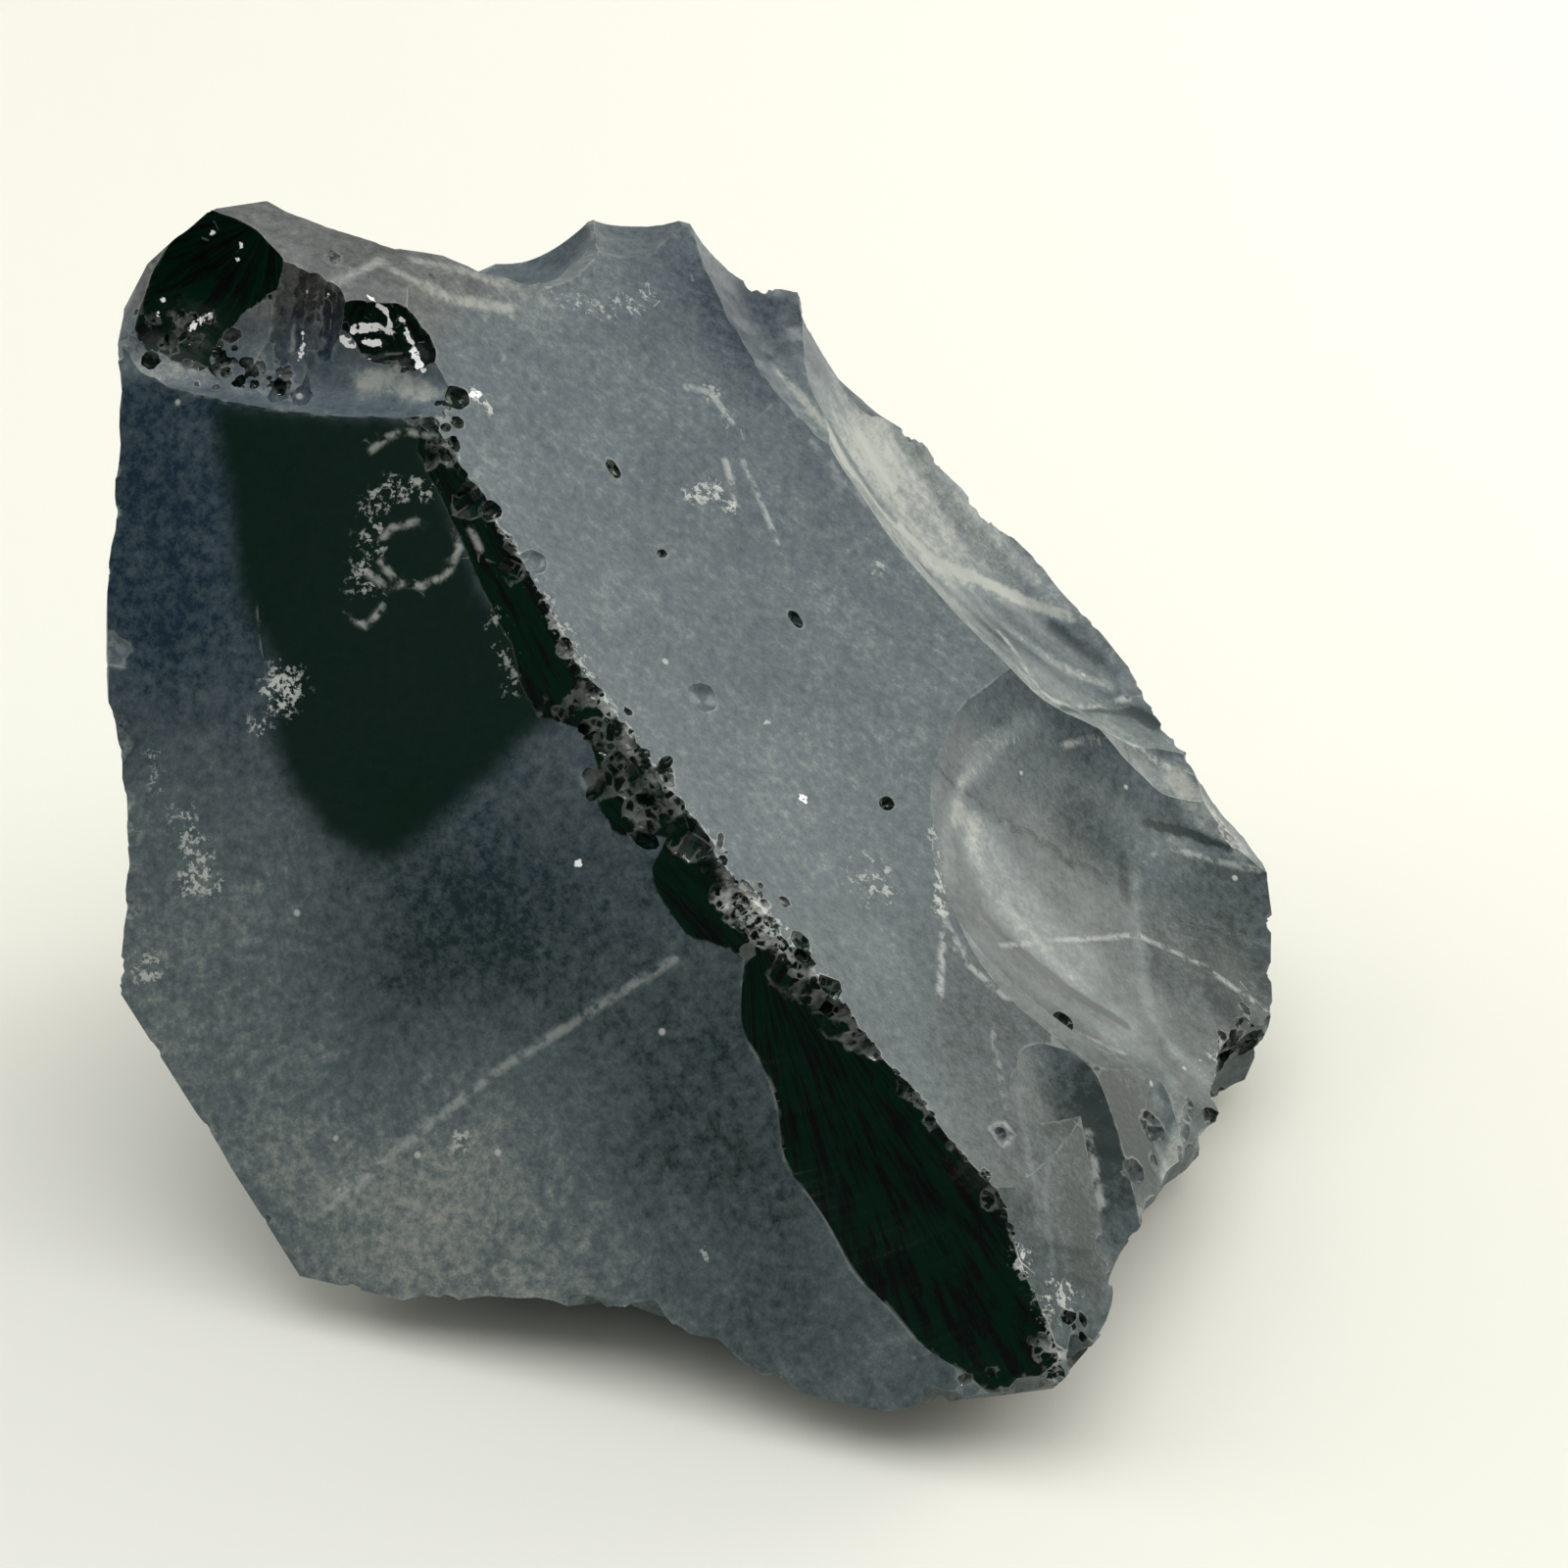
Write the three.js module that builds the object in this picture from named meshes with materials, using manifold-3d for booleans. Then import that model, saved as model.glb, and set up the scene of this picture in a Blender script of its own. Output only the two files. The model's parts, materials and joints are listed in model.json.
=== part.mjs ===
// A lump of rough obsidian: one broken piece of volcanic glass that rests on a small flat spot.
// Its big flat breaks are the facets of a convex block. Its shell-shaped breaks are shallow
// bowls cut out of that block, and its edges are chipped.
// Millimetres. X runs left to right along the front, Y to the back, Z up.
import * as THREE from 'three';
import { ConvexGeometry } from 'three/addons/geometries/ConvexGeometry.js';
import { mergeVertices } from 'three/addons/utils/BufferGeometryUtils.js';
import Module from 'manifold-3d';

const wasm = await Module();
wasm.setup();

// Corners of the block that is left once the big flat breaks are made.
const corners = {
  shoulderLeft: [-56, 65.5, 75.5],
  shoulderRight: [-22.5, 54.5, 76.5],
  leftCorner: [-55.5, 36.5, 26],
  frontLeft: [-37, 18, 5],
  frontFoot: [17.5, -1, 5],
  ridgeKnee: [21.8, 12.8, 30.9],
  nose: [33.5, -3, 10.5],
  noseRight: [39, 5.4, 11],
  noseUnder: [33, 1, 6],
  rightLow: [43.5, 19, 13.3],
  rightMiddle: [50.5, 35, 14.8],
  knobTop: [-46, 72, 90],
  knobLeft: [-52, 72, 84.5],
  knobFoot: [-57, 70, 76],
  rimLeft: [-41, 76.5, 89],
  rimRight: [-25.5, 67, 83.7],
  peakLeft: [-11.7, 86.6, 81.6],
  peakRight: [2, 97.5, 78.2],
  crestTop: [9.3, 95, 74.3],
  sweepHigh: [29, 93, 53],
  sweepMiddle: [37.5, 90, 46],
  sweepLow: [49.2, 80, 32.5],
  crestHigh: [11.7, 80, 61.7],
  crestLow: [36.4, 68, 38.6],
  lobeTop: [53.4, 73, 28],
  lobeTip: [60, 66, 21.5],
  lobeFront: [59, 50.6, 15],
  lobeUnder: [56, 52, 3],
  lobeBack: [48, 74, 8],
  restFrontLeft: [-15, 28, 0],
  restFrontRight: [16, 22, 0],
  restRight: [32, 44, 0],
  restBackRight: [20, 68, 0],
  restBackLeft: [-12, 70, 0],
  backLowRight: [22, 93, 12],
  backLowLeft: [-22, 91, 15],
  leftLow: [-48, 72, 24],
  backLeft: [-54, 84, 58],
  backMiddle: [0, 99, 58],
};

// The origin of the part is this point of the block: under the middle of the stone, on the
// surface that it rests on.
const footprintCentre = [1.5, 48.2, 0];

// Directions that several breaks share.
const frontNormal = [-0.285, -0.828, 0.482];
const rightNormal = [0.562, -0.314, 0.765];
const ridgeDirection = [0.546, -0.554, -0.628];
const crestDirection = [0.69, -0.34, -0.64];

// Shell-shaped breaks. Each is a shallow bowl: centre on the surface, way it faces, way its
// length runs, length and width of its rim, and depth.
const scars = [
  // Front break, and the two hollows beside the ridge
  { centre: [-15, 29, 40], facing: frontNormal, along: ridgeDirection, size: [150, 120], depth: 1.8 },
  { centre: [-25, 45.5, 59.5], facing: frontNormal, along: [0.15, -0.5, -0.85],
    size: [50, 32], depth: 0.9 },
  { centre: [20.2, 10, 25.6], facing: frontNormal, along: ridgeDirection, size: [56, 21.5], depth: 2.2 },
  // Right break
  { centre: [-2, 49, 59.5], facing: rightNormal, along: ridgeDirection, size: [100, 64], depth: 2.4 },
  // Wall under the knob with its ribs, chip beside them, and ledge at their foot
  { centre: [-45.7, 68.2, 84.2], facing: [-0.2, -0.85, 0.45], along: [0.3, 0, 1],
    size: [17.5, 15.5], depth: 2.8 },
  { centre: [-36.8, 65.1, 82.3], facing: [0.1, -0.93, 0.35], along: [0.12, 0.28, 0.95],
    size: [12, 9], depth: 1 },
  { centre: [-29.6, 62.3, 81], facing: [0.1, -0.75, 0.66], along: [1, 0, 0], size: [13, 9], depth: 2.6 },
  { centre: [-41, 62.5, 77], facing: [-0.05, -0.45, 0.9], along: [1, -0.2, 0], size: [34, 7], depth: 1.6 },
  // Notch in the top rim, and the two low peaks beside it
  { centre: [-28.5, 87, 85], facing: [0.05, 0.35, 0.94], along: [1, 0, 0], size: [34, 32], depth: 9 },
  { centre: [-19, 81, 81.5], facing: [0, 0.55, 0.83], along: [0.3, 1, -0.5], size: [20, 15], depth: 4 },
  { centre: [-5.5, 92, 80.2], facing: [0.1, -0.1, 1], along: [0.2, 1, -0.1], size: [18, 10], depth: 1.8 },
  { centre: [-10.5, 87, 81], facing: [-0.5, -0.1, 0.85], along: [0.2, 1, -0.1], size: [15, 9], depth: 1.3 },
  // Swept breaks behind the crest
  { centre: [16.8, 94.2, 66.4], facing: [0.8, 0.3, 0.6], along: crestDirection,
    size: [23, 22], depth: 4.2 },
  { centre: [8.5, 89.5, 69], facing: [0.45, -0.4, 0.8], along: [0.4, -0.65, -0.65],
    size: [30, 9], depth: 1.2 },
  { centre: [29.5, 80.7, 47.9], facing: [0.68, -0.12, 0.75], along: crestDirection,
    size: [54, 28], depth: 4 },
  // Round shell break: its outer step, its dish, and the lobe beside it
  { centre: [41.6, 51.4, 28], facing: rightNormal, along: [0.8, 0.43, -0.41], size: [52, 40], depth: 2.3 },
  { centre: [45.4, 56, 24.6], facing: [0.54, -0.41, 0.74], along: [0.82, 0.14, -0.55],
    size: [47, 37], depth: 3 },
  { centre: [51.5, 55.5, 21.5], facing: [0.6, -0.2, 0.77], along: [0.5, -0.75, -0.4],
    size: [32, 15], depth: 1.2 },
  { centre: [55.2, 64.5, 23], facing: [0.75, 0, 0.66], along: [0.2, -1, -0.3], size: [24, 11], depth: 1 },
  // Narrow breaks below it
  { centre: [35.5, 17.5, 18.5], facing: [0.54, -0.4, 0.74], along: [0.3, -0.75, -0.5],
    size: [24, 8], depth: 0.5 },
  { centre: [44.5, 24.5, 15.8], facing: [0.75, -0.3, 0.6], along: [0.2, -0.85, -0.4],
    size: [18, 5], depth: 0.8 },
  { centre: [48.5, 27.5, 13.5], facing: [0.85, -0.3, 0.45], along: [0.2, -0.9, 0],
    size: [16, 9], depth: 1.4 },
  { centre: [52.5, 41, 10.5], facing: [0.85, -0.35, -0.4], along: [0.3, 0.9, 0],
    size: [16, 10], depth: 1.8 },
  // Left side
  { centre: [-57.2, 62, 52], facing: [-1, 0.2, 0.1], along: [0, 0.3, 1], size: [46, 30], depth: 3 },
  { centre: [-57.3, 50, 45], facing: [-0.95, -0.25, -0.1], along: [0, 0.45, 1],
    size: [34, 15], depth: 2.4 },
  // Underside
  { centre: [-38, 50, 12], facing: [-0.6, 0, -0.8], along: [0.5, 1, 0], size: [36, 22], depth: 2.4 },
  { centre: [-15, 10, 4.4], facing: [0, -0.35, -0.94], along: [1, -0.2, 0], size: [42, 20], depth: 3.4 },
  { centre: [-1.5, 8, 5], facing: [0.1, -0.6, -0.8], along: [0.1, 1, -0.6], size: [12, 6], depth: 2.4 },
  { centre: [47, 27, 8], facing: [0.75, -0.5, -0.45], along: [0.3, 0.9, 0], size: [36, 18], depth: 3 },
  // Back
  { centre: [-27, 92, 46], facing: [-0.2, 1, 0.1], along: [0, 0, 1], size: [62, 48], depth: 5 },
  { centre: [14, 97, 36], facing: [0.3, 0.95, -0.1], along: [0.5, 0, 0.8], size: [52, 40], depth: 4.5 },
  { centre: [43, 83, 22], facing: [0.75, 0.65, -0.1], along: [0.5, -0.6, 0.3], size: [34, 22], depth: 2.6 },
  { centre: [-6, 98, 62], facing: [0.05, 0.93, 0.36], along: [1, 0, -0.3], size: [46, 24], depth: 2.8 },
  { centre: [-46, 82, 36], facing: [-0.75, 0.62, -0.25], along: [0.1, 0.3, 1], size: [44, 24], depth: 2.8 },
  { centre: [-4, 93, 15], facing: [0, 0.85, -0.5], along: [1, 0, 0], size: [46, 20], depth: 2.4 },
];
const scarFlare = 1.5;
const scarFacet = 5;
const steepestWall = THREE.MathUtils.degToRad(81);

// Points where the ridge between the front and the right break bends.
const ridgeUpper = [-9, 39.5, 58];
const ridgeMiddle = [2.5, 28.5, 47];
const ridgeLower = [15, 19.5, 38];
const ridgeFoot = [29.6, 4, 20];

// Chipped edges: the points that each edge runs through, the number of chips, and the radius
// of the smallest and the largest chip.
const chippedEdges = [
  { path: [corners.shoulderRight, ridgeUpper, ridgeMiddle], chips: 18, radius: [1.2, 3.4] },
  { path: [ridgeMiddle, ridgeLower, corners.ridgeKnee], chips: 14, radius: [1.4, 3.4] },
  { path: [corners.ridgeKnee, ridgeFoot, corners.nose], chips: 10, radius: [0.8, 1.6] },
  { path: [corners.shoulderLeft, corners.leftCorner], chips: 16, radius: [0.8, 2.4] },
  { path: [corners.leftCorner, corners.frontLeft], chips: 8, radius: [0.8, 1.8] },
  { path: [corners.frontLeft, corners.frontFoot, corners.nose], chips: 16, radius: [0.8, 2] },
  { path: [corners.noseRight, corners.rightLow, corners.rightMiddle], chips: 8, radius: [1, 2.6] },
  { path: [corners.rightMiddle, corners.lobeUnder], chips: 4, radius: [1, 2.6] },
  { path: [corners.lobeFront, corners.lobeTip, corners.sweepLow], chips: 8, radius: [0.8, 2] },
  { path: [corners.sweepMiddle, corners.sweepHigh, corners.crestTop], chips: 8, radius: [0.8, 1.8] },
  { path: [corners.knobTop, corners.rimLeft, corners.rimRight], chips: 6, radius: [0.8, 1.6] },
];
const roundChipRadius = 1.8;
const chipStretch = [0.7, 1.3];

const toVector = ([x, y, z]) => new THREE.Vector3(x, y, z);
const { clamp, lerp } = THREE.MathUtils;

// Repeatable random numbers between 0 and 1.
let seed = 5;
function random() {
  seed = (seed * 1664525 + 1013904223) % 4294967296;
  return seed / 4294967296;
}

// Turn a closed three.js geometry into a solid that can be cut, and back again.
function toSolid(geometry) {
  geometry.deleteAttribute('normal');
  geometry.deleteAttribute('uv');
  const merged = mergeVertices(geometry, 1e-4);
  const index = merged.index.array;
  const triangles = [];
  for (let i = 0; i < index.length; i += 3) {
    const [a, b, c] = [index[i], index[i + 1], index[i + 2]];
    if (a !== b && b !== c && c !== a) triangles.push(a, b, c);
  }
  const vertProperties = new Float32Array(merged.attributes.position.array);
  const triVerts = new Uint32Array(triangles);
  return new wasm.Manifold(new wasm.Mesh({ numProp: 3, vertProperties, triVerts }));
}

function toGeometry(solid) {
  const mesh = solid.getMesh();
  const geometry = new THREE.BufferGeometry();
  geometry.setAttribute('position', new THREE.BufferAttribute(mesh.vertProperties, 3));
  geometry.setIndex(new THREE.BufferAttribute(mesh.triVerts, 1));
  return geometry;
}

// A turned bowl with a flat lid, as the tool that leaves a shell-shaped break. Local Y points
// out of the stone and local X runs along the break.
function scarTool({ centre, facing, along, size, depth }) {
  const [halfLength, halfWidth] = [size[0] / 2, size[1] / 2];
  const bowlRadius = (halfLength ** 2 + depth ** 2) / (2 * depth);
  const rimAngle = Math.asin(Math.min(1, halfLength / bowlRadius));
  const lastAngle = Math.min(rimAngle * scarFlare, steepestWall);
  const rings = clamp(Math.round(size[0] / scarFacet), 3, 8);
  const spokes = clamp(rings * 4, 16, 28);
  const profile = [];
  for (let i = 0; i <= rings; i += 1) {
    const angle = (lastAngle * i) / rings;
    const height = bowlRadius - depth - bowlRadius * Math.cos(angle);
    profile.push(new THREE.Vector2(bowlRadius * Math.sin(angle), height));
  }
  const edge = profile[rings];
  const lid = edge.y + depth;
  profile.push(new THREE.Vector2(edge.x, lid), new THREE.Vector2(0, lid));
  const bowl = new THREE.LatheGeometry(profile, spokes);
  bowl.scale(1, 1, halfWidth / halfLength);
  const out = toVector(facing).normalize();
  const across = toVector(along).cross(out).normalize();
  const forward = out.clone().cross(across);
  const frame = new THREE.Matrix4().makeBasis(forward, out, across);
  frame.setPosition(toVector(centre));
  return toSolid(bowl.applyMatrix4(frame));
}

// Small chips at random along an edge, as one cutting tool.
function chipTool({ path, chips, radius }) {
  const edge = new THREE.CurvePath();
  for (let i = 1; i < path.length; i += 1) {
    edge.add(new THREE.LineCurve3(toVector(path[i - 1]), toVector(path[i])));
  }
  let tool = null;
  for (let i = 0; i < chips; i += 1) {
    const chipRadius = lerp(radius[0], radius[1], random() ** 2);
    const chip = new THREE.IcosahedronGeometry(chipRadius, chipRadius > roundChipRadius ? 1 : 0);
    chip.scale(1, lerp(...chipStretch, random()), lerp(...chipStretch, random()));
    chip.rotateX(random() * Math.PI).rotateY(random() * Math.PI).rotateZ(random() * Math.PI);
    const place = edge.getPoint((i + random()) / chips);
    chip.translate(place.x, place.y, place.z);
    const solid = toSolid(chip);
    tool = tool ? tool.add(solid) : solid;
  }
  return tool;
}

let stone = toSolid(new ConvexGeometry(Object.values(corners).map(toVector)));
for (const scar of scars) stone = stone.subtract(scarTool(scar));
for (const edge of chippedEdges) stone = stone.subtract(chipTool(edge));

// Splinters that the breaks have cut free fall away.
const pieces = stone.decompose().sort((a, b) => b.volume() - a.volume());
stone = pieces[0];

const satinGlass = new THREE.MeshStandardMaterial({
  color: 0x39464a,
  roughness: 0.45,
  metalness: 0,
});
const obsidian = new THREE.Mesh(toGeometry(stone), satinGlass);
obsidian.name = 'obsidian';
obsidian.position.copy(toVector(footprintCentre)).negate();

const part = new THREE.Group();
part.add(obsidian);

export default part;
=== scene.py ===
"""A lump of rough obsidian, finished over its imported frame.

The stone is cut again at a fine pitch: a convex block, whose big flat breaks are facets, then
the shell-shaped breaks, then the small chips along its edges. Every break remembers whether it
is frosted by weather or still fresh glass, and where the blow that made it fell, so that its
ripples run round that point. Shapes are in millimetres on the block's own axes: X to the right
along the front, Y to the back, Z up. The finished mesh is moved to the frame, in metres.
"""
import json
import math
import random
from typing import NamedTuple

import bmesh
import bpy
import numpy as np
from mathutils import Matrix, Vector
from mathutils.bvhtree import BVHTree

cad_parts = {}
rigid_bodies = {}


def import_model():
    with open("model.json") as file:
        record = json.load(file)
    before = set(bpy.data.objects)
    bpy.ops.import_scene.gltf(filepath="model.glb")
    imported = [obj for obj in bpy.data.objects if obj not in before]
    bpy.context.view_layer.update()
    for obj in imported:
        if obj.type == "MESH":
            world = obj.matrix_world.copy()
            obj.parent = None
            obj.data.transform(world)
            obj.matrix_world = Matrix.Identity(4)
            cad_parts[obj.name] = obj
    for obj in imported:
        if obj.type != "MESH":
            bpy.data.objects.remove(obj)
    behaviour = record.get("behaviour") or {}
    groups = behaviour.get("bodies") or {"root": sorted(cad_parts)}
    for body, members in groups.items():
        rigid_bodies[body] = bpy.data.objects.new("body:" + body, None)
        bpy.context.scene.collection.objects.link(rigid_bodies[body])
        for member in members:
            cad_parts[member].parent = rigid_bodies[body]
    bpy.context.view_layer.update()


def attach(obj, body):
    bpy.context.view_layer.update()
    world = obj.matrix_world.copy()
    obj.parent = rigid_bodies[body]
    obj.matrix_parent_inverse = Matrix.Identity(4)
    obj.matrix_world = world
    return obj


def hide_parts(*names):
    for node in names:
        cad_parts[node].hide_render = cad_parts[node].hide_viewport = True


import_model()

MM = 0.001
FOOTPRINT_CENTRE = Vector((1.5, 48.2, 0))

# ---------------------------------------------------------------- measuring helpers

TINY = 1e-9


def distance_to_path(points, path):
    """How far each point is from a path of straight runs."""
    nearest = np.full(len(points), np.inf)
    for start, end in zip(path, path[1:]):
        start, run = np.array(start), np.array(end) - np.array(start)
        share = np.clip((points - start) @ run / max(run @ run, TINY), 0, 1)
        gap = np.linalg.norm(points - start - share[:, None] * run, axis=1)
        nearest = np.minimum(nearest, gap)
    return nearest


def smooth_step(values, low, high):
    share = np.clip((values - low) / (high - low), 0, 1)
    return share * share * (3 - 2 * share)


# ---------------------------------------------------------------- the block and its breaks

CORNERS = dict(
    shoulder_left=(-56, 65.5, 75.5),
    shoulder_right=(-22.5, 54.5, 76.5),
    left_corner=(-55.5, 36.5, 26),
    front_left=(-37, 18, 5),
    front_foot=(17.5, -1, 5),
    ridge_knee=(21.8, 12.8, 30.9),
    nose=(33.5, -3, 10.5),
    nose_right=(39, 5.4, 11),
    nose_under=(33, 1, 6),
    right_low=(43.5, 19, 13.3),
    right_middle=(50.5, 35, 14.8),
    knob_top=(-46, 72, 90),
    knob_left=(-52, 72, 84.5),
    knob_foot=(-57, 70, 76),
    rim_left=(-41, 76.5, 89),
    rim_right=(-25.5, 67, 83.7),
    peak_left=(-11.7, 86.6, 81.6),
    peak_right=(2, 97.5, 78.2),
    crest_top=(9.3, 95, 74.3),
    sweep_high=(29, 93, 53),
    sweep_middle=(37.5, 90, 46),
    sweep_low=(49.2, 80, 32.5),
    crest_high=(11.7, 80, 61.7),
    crest_low=(36.4, 68, 38.6),
    lobe_top=(53.4, 73, 28),
    lobe_tip=(60, 66, 21.5),
    lobe_front=(59, 50.6, 15),
    lobe_under=(56, 52, 3),
    lobe_back=(48, 74, 8),
    rest_front_left=(-15, 28, 0),
    rest_front_right=(16, 22, 0),
    rest_right=(32, 44, 0),
    rest_back_right=(20, 68, 0),
    rest_back_left=(-12, 70, 0),
    back_low_right=(22, 93, 12),
    back_low_left=(-22, 91, 15),
    left_low=(-48, 72, 24),
    back_left=(-54, 84, 58),
    back_middle=(0, 99, 58),
)

FRONT_NORMAL = (-0.285, -0.828, 0.482)
RIGHT_NORMAL = (0.562, -0.314, 0.765)
RIDGE_DIRECTION = (0.546, -0.554, -0.628)
CREST_DIRECTION = (0.69, -0.34, -0.64)
RIB_DIRECTION = (0.12, 0.28, 0.95)

FROSTED, FRESH = 0.0, 1.0
# A break's bowl runs on past its rim by FLARE, until its wall is as steep as this
FLARE = 1.5
STEEPEST_WALL = math.radians(81)
# Swells in each bowl: how many, their lengths in half widths, and how far each is shifted
SWELLS, SWELL_LENGTHS, SWELL_SHIFT = 5, (0.5, 1.3), 6


class Break:
    """A shell-shaped break.

    facing points out of the stone, and along runs down the length of the break. ripple is the
    spacing and height of its ripples, impact is where the blow fell, in half sizes along and
    across it, and pitch is how far apart its points are.
    """

    def __init__(self, centre, facing, along, size, depth, *, finish=FROSTED, frost=0.5,
                 ripple=(5, 0), impact=(-1, 0), pitch=1.6, unevenness=0.03, least_steps=6):
        self.centre = Vector(centre)
        self.half_length, self.half_width = size[0] / 2, size[1] / 2
        self.depth = depth
        self.finish = finish
        self.frost = frost
        self.ripple_spacing, self.ripple_height = ripple
        self.impact = (impact[0] * self.half_length, impact[1] * self.half_width)
        self.pitch = pitch
        self.unevenness = unevenness * depth
        self.least_steps = least_steps
        out = Vector(facing).normalized()
        across = Vector(along).cross(out).normalized()
        self.axes = Matrix((out.cross(across), out, across))  # rows: forward, out, across

    def shell_distance(self, forward, across):
        """How far a place on the break is from the blow that made it."""
        return np.hypot(forward - self.impact[0], across - self.impact[1])

    def swells(self, forward, across, seed):
        """Low swells that keep the bowl, and so its rim, from being perfectly round."""
        chance = random.Random(seed)
        height = np.zeros_like(forward)
        for _ in range(SWELLS):
            turn = chance.uniform(0, math.pi)
            wave = 2 * math.pi / (self.half_width * chance.uniform(*SWELL_LENGTHS))
            place = forward * math.cos(turn) + across * math.sin(turn)
            height += np.sin(place * wave + chance.uniform(0, SWELL_SHIFT)) * self.unevenness
        return height

    def surface(self, seed):
        """Grids of the forward, out and across coordinates of the bowl."""
        bowl_radius = (self.half_length ** 2 + self.depth ** 2) / (2 * self.depth)
        rim_angle = math.asin(min(1, self.half_length / bowl_radius))
        last_angle = min(rim_angle * FLARE, STEEPEST_WALL)
        reach = bowl_radius * math.sin(last_angle)
        squeeze = self.half_width / self.half_length
        steps_along = max(self.least_steps, round(2 * reach / self.pitch))
        steps_across = max(self.least_steps, round(2 * reach * squeeze / self.pitch))
        u, v = np.meshgrid(np.linspace(-1, 1, steps_along + 1),
                           np.linspace(-1, 1, steps_across + 1), indexing="ij")
        # The square grid is drawn out into a disc, which then sinks into a bowl
        forward = reach * u * np.sqrt(1 - v ** 2 / 2)
        across = reach * v * np.sqrt(1 - u ** 2 / 2)
        drop = np.sqrt(np.maximum(bowl_radius ** 2 - forward ** 2 - across ** 2, 0))
        out = bowl_radius - self.depth - drop
        lid = bowl_radius - bowl_radius * math.cos(last_angle) + SWELLS * self.unevenness
        across = across * squeeze
        distance = self.shell_distance(forward, across)
        out = out + self.ripple_height * np.sin(2 * math.pi * distance / self.ripple_spacing)
        out = out + self.swells(forward, across, seed)
        return forward, out, across, lid

    def tool(self, number):
        """A closed mesh that cuts the break: the bowl, its side and a flat lid."""
        forward, out, across, lid = self.surface(number)
        rows, columns = forward.shape
        bowl = np.stack([forward, out, across], axis=-1).reshape(-1, 3)
        index = np.arange(rows * columns).reshape(rows, columns)
        edge = np.concatenate([index[0, :-1], index[:-1, -1], index[-1, :0:-1], index[:0:-1, 0]])
        rim = bowl[edge].copy()
        rim[:, 1] = lid
        points = np.concatenate([bowl, rim, [[0, lid, 0]]])
        quads = np.stack([index[:-1, :-1], index[1:, :-1], index[1:, 1:], index[:-1, 1:]], axis=-1)
        faces = quads.reshape(-1, 4).tolist()
        top = np.arange(len(edge)) + len(bowl)
        apex = len(points) - 1
        for i in range(len(edge)):
            j = (i + 1) % len(edge)
            faces.append([edge[i], edge[j], top[j], top[i]])
            faces.append([top[i], top[j], apex])
        placed = points @ np.array(self.axes) + np.array(self.centre)
        return numbered_object(f"break {number}", placed, faces, number)


# Narrow hollows side by side under the knob: the middle, facing, size, depth and frost of each
RIBS = [
    ((-39.2, 66, 81.5), (0.4, -0.86, 0.3), (11, 3), 0.9, 0.25),
    ((-37.6, 65.7, 81.5), (0.2, -0.93, 0.35), (10, 2.6), 0.8, 0.1),
    ((-36, 65.5, 81.5), (0, -0.93, 0.35), (11, 2.8), 0.9, 0.25),
    ((-34.4, 65.2, 81.5), (-0.1, -0.93, 0.35), (9, 2.6), 0.8, 0.1),
]

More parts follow.
